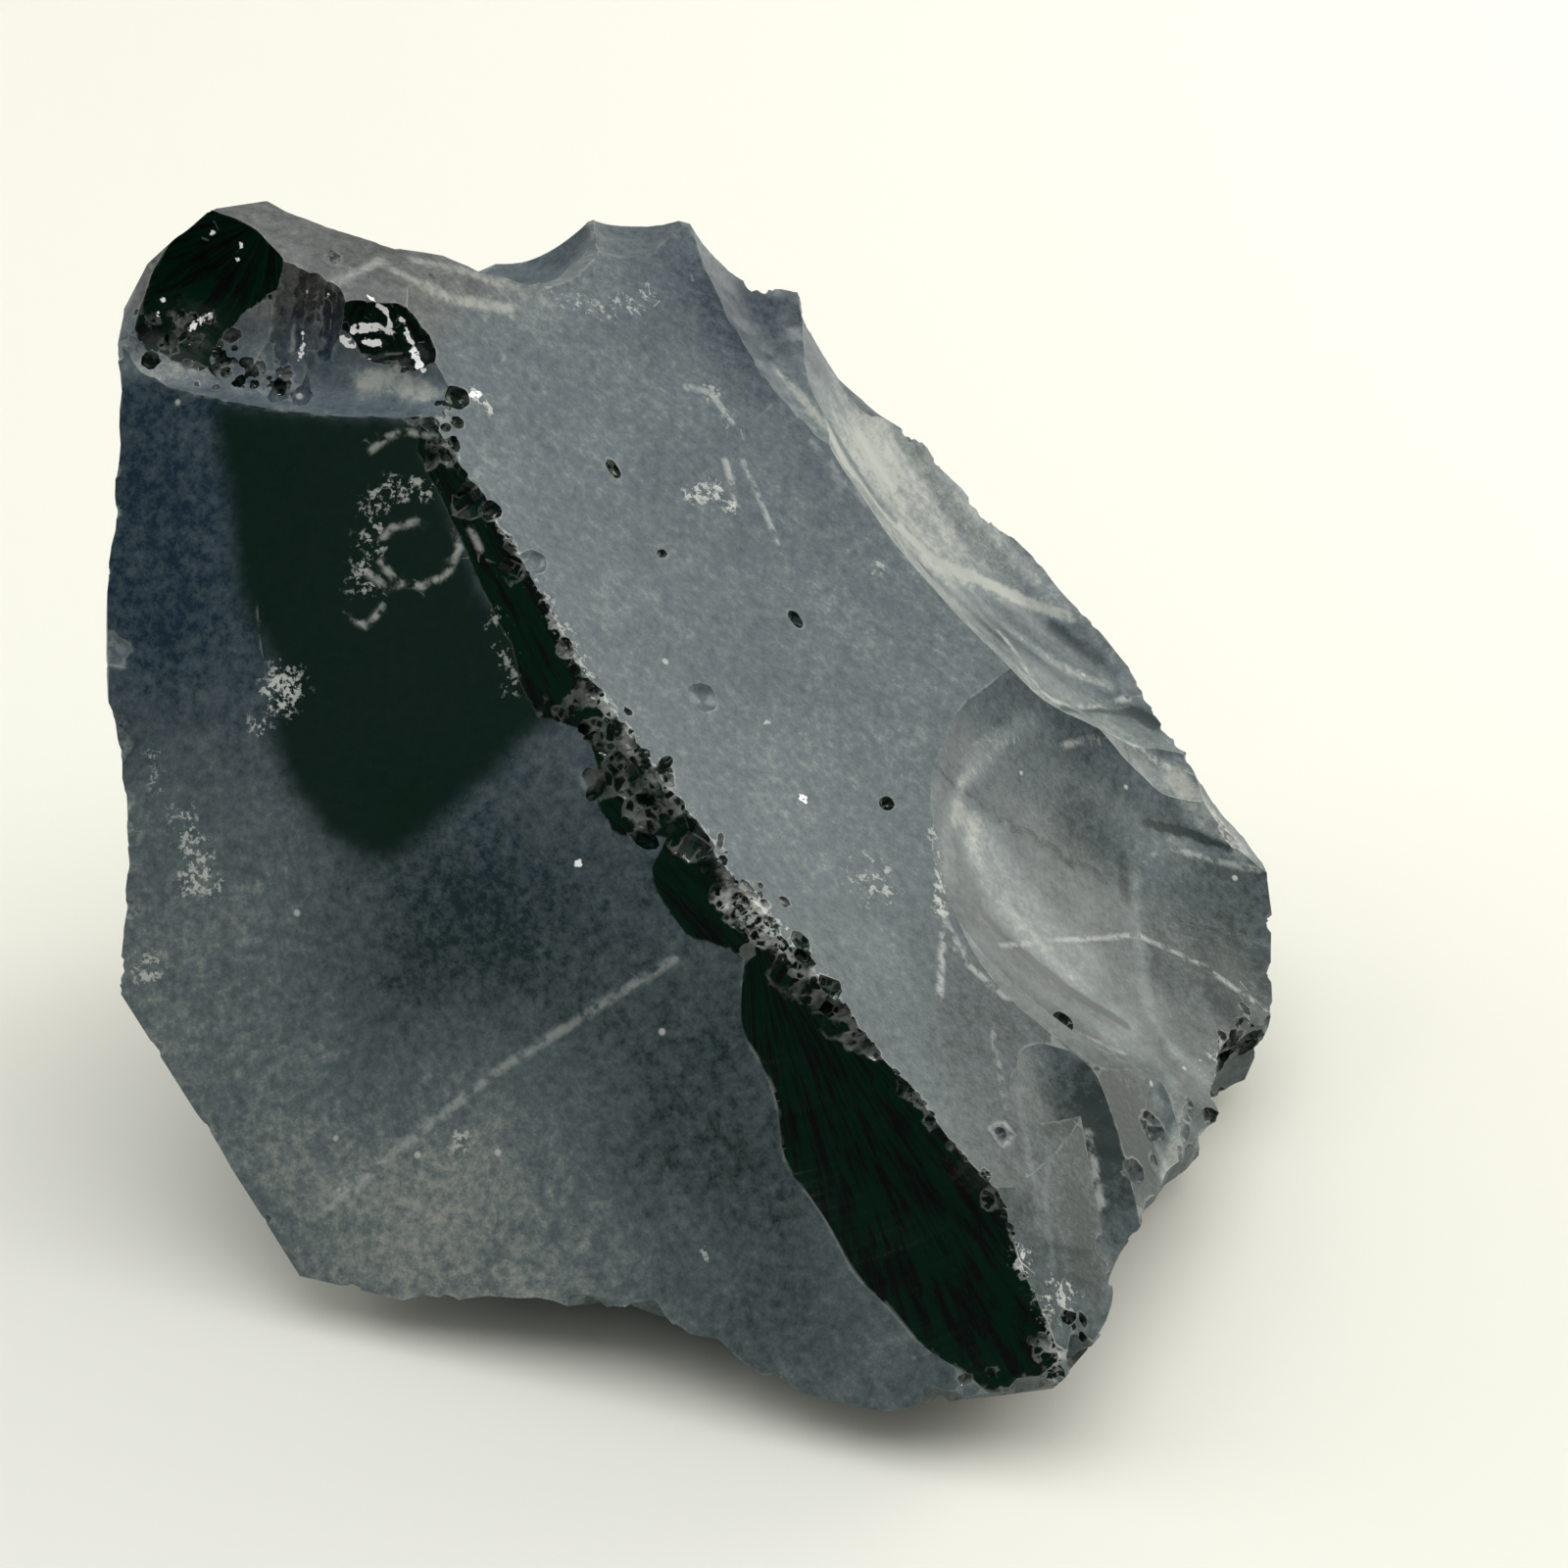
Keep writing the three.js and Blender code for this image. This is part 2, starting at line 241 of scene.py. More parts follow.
BIG_BREAKS = [
    # Front break, and the two hollows beside the ridge
    Break((-15, 29, 40), FRONT_NORMAL, RIDGE_DIRECTION, (150, 120), 1.8, pitch=2.4,
          unevenness=0.02),
    Break((-25, 45.5, 59.5), FRONT_NORMAL, (0.15, -0.5, -0.85), (50, 32), 0.9),
    Break((20.2, 10, 25.6), FRONT_NORMAL, RIDGE_DIRECTION, (56, 21.5), 2.2, finish=FRESH,
          pitch=1, unevenness=0.04),
    # Right break
    Break((-2, 49, 59.5), RIGHT_NORMAL, RIDGE_DIRECTION, (100, 64), 2.4, pitch=2,
          unevenness=0.02),
    # Wall and ledge under the knob
    Break((-45.7, 68.2, 84.2), (-0.2, -0.85, 0.45), (0.3, 0, 1), (17.5, 15.5), 2.8, finish=FRESH,
          ripple=(2.4, 0.05), impact=(1, 0.4), pitch=0.6),
    Break((-42.1, 66.9, 80), (-0.3, -0.84, 0.45), (0.3, 0.2, 1), (7.5, 4.6), 0.6, frost=0.55,
          pitch=0.6),
    *[Break(centre, facing, RIB_DIRECTION, size, depth, frost=frost, ripple=(2, 0.06), pitch=0.4)
      for centre, facing, size, depth, frost in RIBS],
    Break((-29.6, 62.3, 81), (0.1, -0.75, 0.66), (1, 0, 0), (13, 9), 2.6, finish=FRESH,
          ripple=(2, 0.12), impact=(0, -1.5), pitch=0.5),
    Break((-41, 62.5, 77), (-0.05, -0.45, 0.9), (1, -0.2, 0), (34, 7), 1.6, pitch=0.8),
    # Notch in the top rim
    Break((-28.5, 87, 85), (0.05, 0.35, 0.94), (1, 0, 0), (34, 32), 9, ripple=(4, 0.15),
          impact=(0, 1), frost=0.3, pitch=1.2),
    Break((-19, 81, 81.5), (0, 0.55, 0.83), (0.3, 1, -0.5), (20, 15), 4, frost=0.35, pitch=1,
          unevenness=0.04),
    Break((-5.5, 92, 80.2), (0.1, -0.1, 1), (0.2, 1, -0.1), (18, 10), 1.8, pitch=0.8),
    Break((-10.5, 87, 81), (-0.5, -0.1, 0.85), (0.2, 1, -0.1), (15, 9), 1.3, pitch=0.8),
    # Swept break behind the crest
    Break((18, 93.9, 64.8), (0.8, 0.3, 0.6), CREST_DIRECTION, (28, 24), 4.6, ripple=(3, 0.12),
          impact=(0, -3), frost=0.25, pitch=0.9),
    Break((8.5, 89.5, 69), (0.45, -0.4, 0.8), (0.4, -0.65, -0.65), (30, 9), 1.2,
          ripple=(2.5, 0.05), frost=0.7, pitch=0.8),
    Break((29.5, 80.7, 47.9), (0.68, -0.12, 0.75), CREST_DIRECTION, (54, 28), 4,
          ripple=(5.5, 0.16), impact=(0, -7), frost=0.76, pitch=0.8, unevenness=0.015),
    # Round shell break: its outer step, its dish, and the lobe beside it
    Break((41.8, 49.4, 27), RIGHT_NORMAL, (0.8, 0.43, -0.41), (50, 32), 2.1, frost=0.5,
          pitch=1, unevenness=0.025),
    Break((46.2, 56, 24), (0.54, -0.41, 0.74), (0.82, 0.14, -0.55), (45, 34.5), 2.9,
          ripple=(6, 0.03), impact=(1, 0), frost=0.27, pitch=0.8, unevenness=0.02),
    Break((51.5, 55.5, 21.5), (0.6, -0.2, 0.77), (0.5, -0.75, -0.4), (32, 15), 1.2, frost=0.4,
          pitch=0.8),
    Break((55.2, 64.5, 23), (0.75, 0, 0.66), (0.2, -1, -0.3), (24, 11), 1, frost=0.4, pitch=1),
    # Narrow breaks below it
    Break((35.5, 17.5, 18.5), (0.54, -0.4, 0.74), (0.3, -0.75, -0.5), (24, 8), 0.5,
          ripple=(3, 0.02), impact=(-1, -3), frost=0.55, pitch=0.7),
    Break((44.5, 24.5, 15.8), (0.75, -0.3, 0.6), (0.2, -0.85, -0.4), (18, 5), 0.8,
          ripple=(3, 0.02), impact=(-1, -3), frost=0.75, pitch=0.7),
    Break((48.5, 27.5, 13.5), (0.85, -0.3, 0.45), (0.2, -0.9, 0), (16, 9), 1.4, pitch=0.8),
    Break((52.5, 41, 10.5), (0.85, -0.35, -0.4), (0.3, 0.9, 0), (16, 10), 1.8, pitch=0.9),
    Break((53.3, 46.3, 5.4), (0.8, -0.58, -0.15), (0.1, 0.3, -1), (18, 13), 2.2, pitch=0.9),
    # Left side
    Break((-57.2, 62, 52), (-1, 0.2, 0.1), (0, 0.3, 1), (46, 30), 3, ripple=(6, 0.2)),
    Break((-57.3, 50, 45), (-0.95, -0.25, -0.1), (0, 0.45, 1), (34, 15), 2.4, ripple=(4, 0.15)),
    # Underside
    Break((-38, 50, 12), (-0.6, 0, -0.8), (0.5, 1, 0), (36, 22), 2.4, ripple=(5, 0.15)),
    Break((-15, 10, 4.4), (0, -0.35, -0.94), (1, -0.2, 0), (42, 20), 3.4, ripple=(6, 0.15)),
    Break((-1.5, 8, 5), (0.1, -0.6, -0.8), (0.1, 1, -0.6), (12, 6), 2.4, pitch=0.8),
    Break((47, 27, 8), (0.75, -0.5, -0.45), (0.3, 0.9, 0), (36, 18), 3, ripple=(5, 0.15)),
    # Back
    Break((-27, 92, 46), (-0.2, 1, 0.1), (0, 0, 1), (62, 48), 5, ripple=(7, 0.3), impact=(1, 0)),
    Break((14, 97, 36), (0.3, 0.95, -0.1), (0.5, 0, 0.8), (52, 40), 4.5, ripple=(6, 0.25),
          impact=(1, 0.3), finish=FRESH),
    Break((43, 83, 22), (0.75, 0.65, -0.1), (0.5, -0.6, 0.3), (34, 22), 2.6, ripple=(4, 0.2)),
    Break((-6, 98, 62), (0.05, 0.93, 0.36), (1, 0, -0.3), (46, 24), 2.8, ripple=(5, 0.2)),
    Break((-46, 82, 36), (-0.75, 0.62, -0.25), (0.1, 0.3, 1), (44, 24), 2.8,
          ripple=(5, 0.25), impact=(1, 0)),
    Break((-4, 93, 15), (0, 0.85, -0.5), (1, 0, 0), (46, 20), 2.4, ripple=(5, 0.2)),
]


class Pit(NamedTuple):
    """A small dent in the right break."""
    place: tuple
    length: float
    width: float
    depth: float
    finish: float = FROSTED


PITS = [
    Pit((-22, 59.5, 76.5), 2.6, 3.4, 0.7, FRESH),
    Pit((-7.7, 63.5, 67), 2.2, 1.4, 0.5, FRESH),
    Pit((1, 45, 52.5), 3, 3.4, 0.5),
    Pit((9.8, 59.3, 52.8), 2.2, 1.4, 0.4, FRESH),
    Pit((18.5, 44.8, 40.8), 1.6, 2, 0.6, FRESH),
    Pit((34.5, 34, 22), 2.4, 3.4, 0.7, FRESH),
    Pit((28.4, 15, 24.2), 1.4, 1.4, 0.4),
    Pit((-18.5, 50, 69.6), 2.2, 3, 0.9, FRESH),
    Pit((-14.5, 47.5, 65.5), 2.6, 3.4, 0.5),
    Pit((-3, 58, 60.7), 1, 1.3, 0.3, FRESH),
]


class Crumbs(NamedTuple):
    """A crushed patch: small angular chips of fresh glass within a radius of a place."""
    place: tuple
    radius: float
    chips: int
    length: tuple


CRUSHED_PLACES = [
    # Foot of the wall under the knob, and the ledge beside it
    Crumbs((-48.3, 68, 78.6), 3, 20, (0.7, 2.4)),
    Crumbs((-45, 66.4, 77.4), 2, 12, (0.7, 2)),
    Crumbs((-42.6, 64.6, 76.5), 1.8, 16, (0.7, 2)),
    Crumbs((-39.5, 63.9, 76.4), 1.6, 14, (0.6, 1.8)),
    Crumbs((-27.5, 62.5, 79.5), 2, 8, (0.6, 1.6)),
    Crumbs((-52, 69, 80), 1.8, 8, (0.7, 1.6)),
    # Cells along the ridge
    Crumbs((-22.5, 54, 74), 2.6, 10, (1, 3)),
    Crumbs((-10.8, 38.5, 55.5), 2.6, 14, (0.8, 2.6)),
    Crumbs((-6.4, 34.6, 52), 2.8, 26, (0.8, 3.2)),
    Crumbs((-3.4, 32, 49.3), 3, 28, (0.8, 3.2)),
    Crumbs((2.5, 28, 45.5), 2, 12, (0.6, 2)),
    Crumbs((5.2, 25.2, 42.4), 3, 30, (0.6, 2.4)),
    Crumbs((9.5, 22, 39), 2.6, 20, (0.8, 2.8)),
    Crumbs((13.4, 19, 36.6), 2.2, 14, (0.6, 2.2)),
    # The nose and the lobe's lower end
    Crumbs((33.5, 0, 11), 3, 16, (0.8, 2.2)),
    Crumbs((28.5, -1, 8.5), 3, 10, (0.8, 2.2)),
    Crumbs((54.6, 47.2, 9.8), 3.4, 26, (1.2, 3)),
    Crumbs((53.5, 43, 12.5), 2.4, 12, (0.8, 2)),
]

# Points where the ridge between the front and the right break bends.
RIDGE = [CORNERS["shoulder_right"], (-9, 39.5, 58), (2.5, 28.5, 47), (15, 19.5, 38),
         CORNERS["ridge_knee"], (29.6, 4, 20), CORNERS["nose"]]


class ChippedEdge(NamedTuple):
    """Small chips along an edge of the stone.

    The edge runs near the path, which is a list of corners or points. The chips bite into the
    side that faces most nearly towards facing, and tilt says how far they lean to the other.
    """
    path: list
    facing: tuple
    chips: int
    length: tuple
    depth: tuple = (0.12, 0.22)
    tilt: float = 0.35
    unevenness: float = 0.1
    finish: float = FROSTED

    def gap(self, points):
        return distance_to_path(points, [CORNERS.get(point, point) for point in self.path])


UNDER_FACING = (0, -0.3, -0.95)
CHIPPED_EDGES = [
    # The ridge: flakes off the front, and crumbs off the right
    ChippedEdge(RIDGE[:3], FRONT_NORMAL, 26, (1, 5), depth=(0.1, 0.25), unevenness=0.25,
                finish=FRESH),
    ChippedEdge(RIDGE[2:5], FRONT_NORMAL, 40, (1, 5), depth=(0.1, 0.28), unevenness=0.3,
                finish=FRESH),
    ChippedEdge(RIDGE[4:], FRONT_NORMAL, 24, (0.8, 2), unevenness=0.25, finish=FRESH),
    ChippedEdge(RIDGE, RIGHT_NORMAL, 80, (0.6, 1.6), unevenness=0.2, finish=FRESH),
    # The left edge, the bottom edge of the front and the right-hand edges
    ChippedEdge(["shoulder_left", "left_corner"], FRONT_NORMAL, 26, (1.2, 4.5), depth=(0.1, 0.2)),
    ChippedEdge(["left_corner", "front_left"], FRONT_NORMAL, 10, (1.5, 4)),
    ChippedEdge(["front_left", "front_foot", "nose"], UNDER_FACING, 30, (2.5, 8), tilt=0.5),
    ChippedEdge(["nose_right", "right_low", "right_middle"], UNDER_FACING, 22, (1.5, 4)),
    ChippedEdge(["right_middle", "lobe_under"], (1, 0, 0), 12, (1.5, 3.5), finish=FRESH),
    ChippedEdge(["lobe_front", "lobe_tip", "sweep_low"], (1, 0.5, 0), 18, (1.5, 4)),
    ChippedEdge(["sweep_low", "sweep_high", "crest_top"], (0.5, 1, 0.2), 22, (1.5, 4.5)),
    ChippedEdge(["knob_top", "rim_left", "rim_right"], (0, 0.5, 1), 10, (1.2, 3)),
]


def add_object(name, data):
    made = bpy.data.objects.new(name, data)
    bpy.context.scene.collection.objects.link(made)
    return made


def numbered_object(name, points, faces, number):
    """A closed mesh whose faces all carry the number of their break."""
    mesh = bpy.data.meshes.new(name)
    mesh.from_pydata(np.asarray(points).tolist(), [], faces)
    numbers = mesh.attributes.new("break", "INT", "FACE")
    numbers.data.foreach_set("value", np.full(len(mesh.polygons), number, np.int32))
    return add_object(name, mesh)


class EdgePlace:
    """A place on a sharp edge of the stone, and the two sides that meet there."""

    def __init__(self, edge):
        first, second = edge.verts
        self.middle = (first.co + second.co) / 2
        self.length = edge.calc_length()
        self.direction = (second.co - first.co).normalized()
        self.normals = [face.normal.copy() for face in edge.link_faces]


# A chip bites where the edge turns by more than this, within this reach of its path
CHIPPED_TURN, EDGE_REACH = math.radians(20), 5


def sharp_places(mesh):
    stone = bmesh.new()
    stone.from_mesh(mesh)
    places = [EdgePlace(edge) for edge in stone.edges
              if edge.is_convex and edge.calc_face_angle(0) > CHIPPED_TURN]
    stone.free()
    return places


CHIP_SEED, CRUMB_SEED = 11, 23
# The limits of a chip's width, of how far it sits down the side and of its skew, and the spacing
# and height of its ripples, all in lengths of the chip
CHIP_WIDTH, CHIP_DROP, CHIP_SKEW = (0.6, 1.1), (0.1, 0.3), (-0.5, 0.5)
CHIP_RIPPLE, CHIP_RIPPLE_HEIGHT = 0.2, 0.008
# The limits of its lean, the steps that its length may be cut in, and its swells in depths
CHIP_LEAN, CHIP_STEPS, LEAST_STEPS, CHIP_UNEVENNESS = (0.5, 1.3), (3, 5, 10), 3, 0.15
# The same for a crumb, whose depth is also in lengths, and for a pit
CRUMB_WIDTH, CRUMB_DEPTH, CRUMB_TURN = (0.5, 1), (0.12, 0.3), 0.35
CRUMB_STEPS, CRUMB_UNEVENNESS = 2.5, 0.2
PIT_RIPPLE, PIT_PITCH = (1.1, 0.05), 0.3


def mostly_short(limits, chance):
    """A length between two limits, more often near the lower one."""
    low, high = limits
    return low + (high - low) * chance.random() ** 2


def scatter(spread, chance):
    return Vector([chance.gauss(0, spread) for _ in range(3)])


def chip_at(place, edge, chance):
    """One chip, with the blow on the edge and the flake running down its side."""
    side, other = sorted(place.normals, key=Vector(edge.facing).dot, reverse=True)
    length = mostly_short(edge.length, chance)
    width = length * chance.uniform(*CHIP_WIDTH)
    turn = scatter(edge.unevenness, chance)
    facing = (side + other * edge.tilt * chance.uniform(*CHIP_LEAN) + turn).normalized()
    downhill = place.direction.cross(facing).normalized()
    if downhill.dot(other) > 0:
        downhill.negate()
    centre = place.middle + downhill * length * chance.uniform(*CHIP_DROP)
    skewed = downhill + place.direction * chance.uniform(*CHIP_SKEW)
    return Break(centre, facing, skewed, (length, width), length * chance.uniform(*edge.depth),
                 finish=edge.finish, ripple=(length * CHIP_RIPPLE, length * CHIP_RIPPLE_HEIGHT),
                 pitch=length / chance.choice(CHIP_STEPS), least_steps=LEAST_STEPS,
                 unevenness=CHIP_UNEVENNESS)


def small_chips(mesh):
    """Chips that bite into one side of each chipped edge, at random along it."""
    chance = random.Random(CHIP_SEED)
    places = sharp_places(mesh)
    middles = np.array([place.middle for place in places])
    made = []
    for edge in CHIPPED_EDGES:
        near = np.flatnonzero(edge.gap(middles) < EDGE_REACH)
        if not len(near):
            continue
        weights = [places[i].length for i in near]
        for i in chance.choices(near.tolist(), weights, k=edge.chips):
            made.append(chip_at(places[i], edge, chance))
    return made


def surface_finder(mesh):
    return BVHTree.FromPolygons([vertex.co for vertex in mesh.vertices],
                                [face.vertices for face in mesh.polygons])


def crushed_chips(tree):
    """Angular chips strewn over the crushed places."""
    chance = random.Random(CRUMB_SEED)
    made = []
    for patch in CRUSHED_PLACES:
        for _ in range(patch.chips):
            away = scatter(patch.radius / 2, chance)
            place, normal, _, _ = tree.find_nearest(Vector(patch.place) + away)
            turn = scatter(CRUMB_TURN, chance)
            along = Vector([chance.uniform(-1, 1) for _ in range(3)])
            length = mostly_short(patch.length, chance)
            size = (length, length * chance.uniform(*CRUMB_WIDTH))
            depth = length * chance.uniform(*CRUMB_DEPTH)
            made.append(Break(place, normal + turn, along, size, depth, finish=FRESH,
                              pitch=length / CRUMB_STEPS, least_steps=LEAST_STEPS,
                              unevenness=CRUMB_UNEVENNESS))
    return made


def small_pits(tree):
    """The pits, each set down on the stone's real surface."""
    made = []
    for pit in PITS:
        place, normal, _, _ = tree.find_nearest(Vector(pit.place))
        made.append(Break(place, normal, RIDGE_DIRECTION, (pit.length, pit.width), pit.depth,
                          finish=pit.finish, ripple=PIT_RIPPLE, pitch=PIT_PITCH))
    return made


# ---------------------------------------------------------------- marks on the big breaks

# A mark is at its full strength within this share of its width, and fades from there
MARK_CORE = 0.25


class Mark(NamedTuple):
    """A soft stroke on the surface, along a path of points or round a single one."""
    path: list
    width: float
    strength: float

    def gap(self, points):
        return distance_to_path(points, self.path if len(self.path) > 1 else self.path * 2)

    def paint(self, points):
        core = self.width * MARK_CORE
        return self.strength * smooth_step(-self.gap(points), -self.width, -core)


def marks(*entries):
    """Marks from the path, width and strength of each."""
    return [Mark(*entry) for entry in entries]


# Fine pale lines: scratches, rings round small blows, healed cracks, and worn creases and rims, the
# light along creases and rims partly a painted highlight
PALE_LINES = marks(
    # Front: the long scratch, and rings in the dark patch
    ([(-1.3, 24.6, 36.8), (-18.6, 23.3, 24.5), (-28, 21.5, 16.5), (-34.6, 20.3, 10.5)], 0.7, 0.35),
    ([(-29, 50.3, 64), (-27.5, 49.2, 62.6), (-25, 48.2, 62.5), (-22.4, 48.2, 64), (-21.3, 49, 66.2),
      (-22, 50, 67.3)], 0.5, 0.6),
    ([(-29, 51.3, 65.7), (-27.8, 51.7, 66.9), (-25.5, 51.3, 67.7)], 0.5, 0.5),
    ([(-29.8, 55.6, 72.9), (-28.3, 55.7, 74.2), (-26.4, 55.5, 75), (-23.7, 54.5, 74.9),
      (-21.7, 53.2, 73.5)], 0.5, 0.5),
    ([(-30.2, 50.2, 62.9), (-28.3, 49.1, 61.9), (-26.9, 48.9, 62.5)], 0.5, 0.6),
    ([(-31.7, 48.4, 59.1), (-30.2, 47.7, 58.5), (-28.8, 48.3, 60.3)], 0.5, 0.6),
    ([(-20.3, 49.5, 67.9), (-19.4, 48.4, 66.4)], 0.5, 0.5),
    # Right: straight lines, a ring, and scratches near the top
    ([(23.4, 49, 36.8), (23.2, 42, 35), (23.7, 37, 34), (23, 26.5, 31.2)], 0.6, 0.5),
    ([(27.8, 36, 28), (28, 25, 27.7), (29, 18, 24.8)], 0.5, 0.25),
    ([(24.8, 32.6, 32.2), (33.5, 44, 25.3), (44.1, 52.9, 20), (50.7, 53.3, 16.1), (57.2, 51.4, 12)],
      0.5, 0.45),
    ([(27.2, 14.8, 24.7), (28.5, 16.4, 24.5), (29.6, 15.4, 23.7), (28.5, 13.5, 23.9),
      (27.2, 14.8, 24.7)], 0.4, 0.35),
    ([(2.8, 71.8, 63.7), (4.1, 68.1, 60.8)], 0.6, 0.5),
    ([(4.5, 73, 63.1), (6.3, 69.8, 60.3), (8, 66.6, 57.3)], 0.5, 0.45),
    ([(-1, 77.1, 69), (1.4, 78.2, 67.9), (3.4, 76.4, 65.6)], 0.6, 0.45),
    # Worn creases, partly a painted highlight: the crest and the ledge below it
    ([(11.5, 79.2, 61.9), (17.6, 75.2, 56.1)], 0.6, 0.25),
    ([(30.9, 77, 41.1), (32.7, 73.8, 39.4), (34.6, 70.1, 38.9), (35.9, 69, 38), (40, 73.8, 34.6),
      (44.5, 78.3, 32.6)], 0.7, 0.6),
    # Round shell break: its outer and inner rims and the folds of its lobe, all partly painted
    # light, and its crack
    ([(30.6, 62.4, 38.8), (26.9, 57.6, 39.3), (23.8, 51, 38.6), (22.6, 45.4, 37.3),
      (23.2, 41.1, 35.2)], 0.6, 0.45),
    ([(23.8, 35.3, 33.5), (26, 31.6, 31.2), (29.3, 30, 28.7), (33.6, 33, 23.7), (42.1, 35.7, 17.4),
      (47, 34, 14)], 0.6, 0.4),
    ([(32.5, 64, 38), (28.5, 57.5, 36.8), (26, 52, 36.3)], 0.5, 0.4),
    ([(36.7, 65.4, 34.6), (39.1, 67.5, 34.1), (42.1, 70.2, 33), (45.5, 70.7, 31),
      (48.1, 70.8, 28.9)], 0.7, 0.5),
    ([(46.1, 61.9, 23.6), (47.8, 63.5, 23.2), (50.4, 64, 22.5), (57.6, 65.9, 19.3)], 0.6, 0.4),
    ([(37, 21.2, 19.2), (37.5, 18.4, 17.2), (38, 15.1, 15)], 0.8, 0.45),
    # Ribs under the knob
    ([(-39.9, 65.9, 79.6), (-39.5, 67.3, 83)], 0.4, 0.3),
    ([(-37.9, 65.2, 78.6), (-37.6, 66.4, 82)], 0.4, 0.4),
    ([(-34.8, 65.1, 79.5), (-34.9, 66.1, 82.9)], 0.4, 0.35),
)

# Painted glints: short near-white strokes painted where splinters of glass catch the light, mostly
# round the knob
PAINTED_GLINTS = marks(
    ([(-37.8, 66.4, 83.4), (-37.4, 66.3, 82.1)], 0.6, 1),
    ([(-36.7, 66.7, 84.3), (-36.2, 66.6, 83.8)], 0.5, 1),
    ([(-37, 65.7, 81.2), (-36.8, 65.3, 79.9)], 0.5, 1),
    ([(-36.8, 65.1, 79.2), (-37.2, 64.6, 77.9)], 0.5, 0.9),
    ([(-32.9, 64.5, 80.1), (-32.1, 64.2, 79.7)], 0.6, 1),
    ([(-31.7, 64.7, 81.1), (-30.1, 65.1, 81.1), (-28.5, 65.3, 80.8)], 0.7, 1),
    ([(-30.7, 64.5, 80), (-29.6, 64.6, 79.7)], 0.6, 1),
    ([(-30.5, 65.8, 84), (-28.9, 65.5, 82.8), (-28.5, 65.3, 81.4)], 0.4, 0.9),
    ([(-27.5, 65.4, 81.9), (-26.4, 64.2, 79.9)], 0.4, 0.8),
    ([(-26.2, 63.7, 79.4), (-25.3, 61.7, 78.2)], 0.6, 1),
    ([(-34.3, 66.3, 84.2), (-34.1, 66.3, 83.8)], 0.5, 0.9),
    ([(-20.6, 61, 76.1), (-20, 61.6, 75.8)], 0.6, 1),
    ([(-42.8, 71.4, 86.7)], 0.4, 1),
    ([(-43.3, 71.2, 85.3)], 0.4, 1),
    ([(-45.7, 72.1, 87.6)], 0.5, 1),
    ([(-50.6, 69.9, 81.8)], 0.5, 0.9),
    ([(-51, 69, 80.7)], 0.4, 0.9),
    ([(-47.8, 68.3, 79.5), (-45.9, 69.2, 80.6)], 0.6, 0.75),
    ([(-44.5, 65.2, 77), (-43.8, 65.8, 77.9)], 0.6, 1),
    ([(10.5, 40.2, 44.2)], 0.8, 1),
    ([(-10.2, 31.2, 43)], 0.6, 0.9),
)

# Patches of crushed, whitish glass
BRUISES = marks(
    # Front
    ([(-38.3, 46.4, 52.9), (-38.8, 45.8, 52)], 3.4, 1),
    ([(-40.7, 45, 49.4)], 2, 0.9),
    ([(-48.5, 42.6, 40.6), (-45.6, 38.8, 35.8), (-48, 39.4, 35.4)], 2.6, 0.85),
    ([(-51.4, 46.3, 45.3), (-50.9, 44.8, 43)], 1.6, 0.6),
    ([(-52, 36.2, 27.5)], 3, 0.8),
    ([(-21.4, 20.7, 18.8)], 2, 0.8),
    ([(-30.5, 50, 62), (-29.5, 52, 66)], 2.8, 0.7),
    ([(-29.7, 53.2, 68.5), (-27.8, 53.3, 70), (-25, 52.6, 70.4)], 2.2, 0.75),
    ([(-18, 45, 61), (-16.5, 41, 56)], 2, 0.5),
    ([(1.5, 10, 14.2)], 1.2, 0.8),
    # Right
    ([(-0.3, 66, 62.8), (2, 68.1, 62.3), (3.4, 67.5, 61)], 1.8, 0.95),
    ([(2.9, 76.1, 65.8), (1.4, 78.2, 67.9)], 2.2, 0.6),
    ([(-20.4, 61.4, 76), (-18.6, 60.5, 75)], 1.6, 0.9),
    ([(17, 35.6, 38.1)], 5, 0.65),
    ([(22.3, 44.8, 37.5), (23, 42.3, 35.7), (23.3, 36.3, 34.1)], 1.5, 0.95),
    ([(6.8, 46.5, 49)], 1.2, 0.8),
    ([(-14, 78, 78.5), (-8.6, 79.4, 75.9), (-4.9, 84, 75.9)], 2.2, 0.6),
    ([(18, 69.7, 52.7)], 2, 0.6),
    ([(39.5, 57.5, 28)], 0.9, 0.9),
    ([(32.8, 2.5, 14.6), (34, 4, 15)], 3, 0.8),
    ([(30.2, 4.4, 18.2)], 2, 1),
    ([(50, 40, 13), (54, 45, 12)], 2.6, 0.6),
    # The crest of the ridge
    ([(-22, 54, 76), (-9, 40, 58), (2.5, 29, 47), (15, 20, 38), (21.8, 12.8, 30.9), (29.6, 4, 20),
      (33.5, -3, 10.5)], 2, 0.5),
    ([(4.5, 26, 42.5), (12, 21.5, 38.5)], 3, 0.75),
)
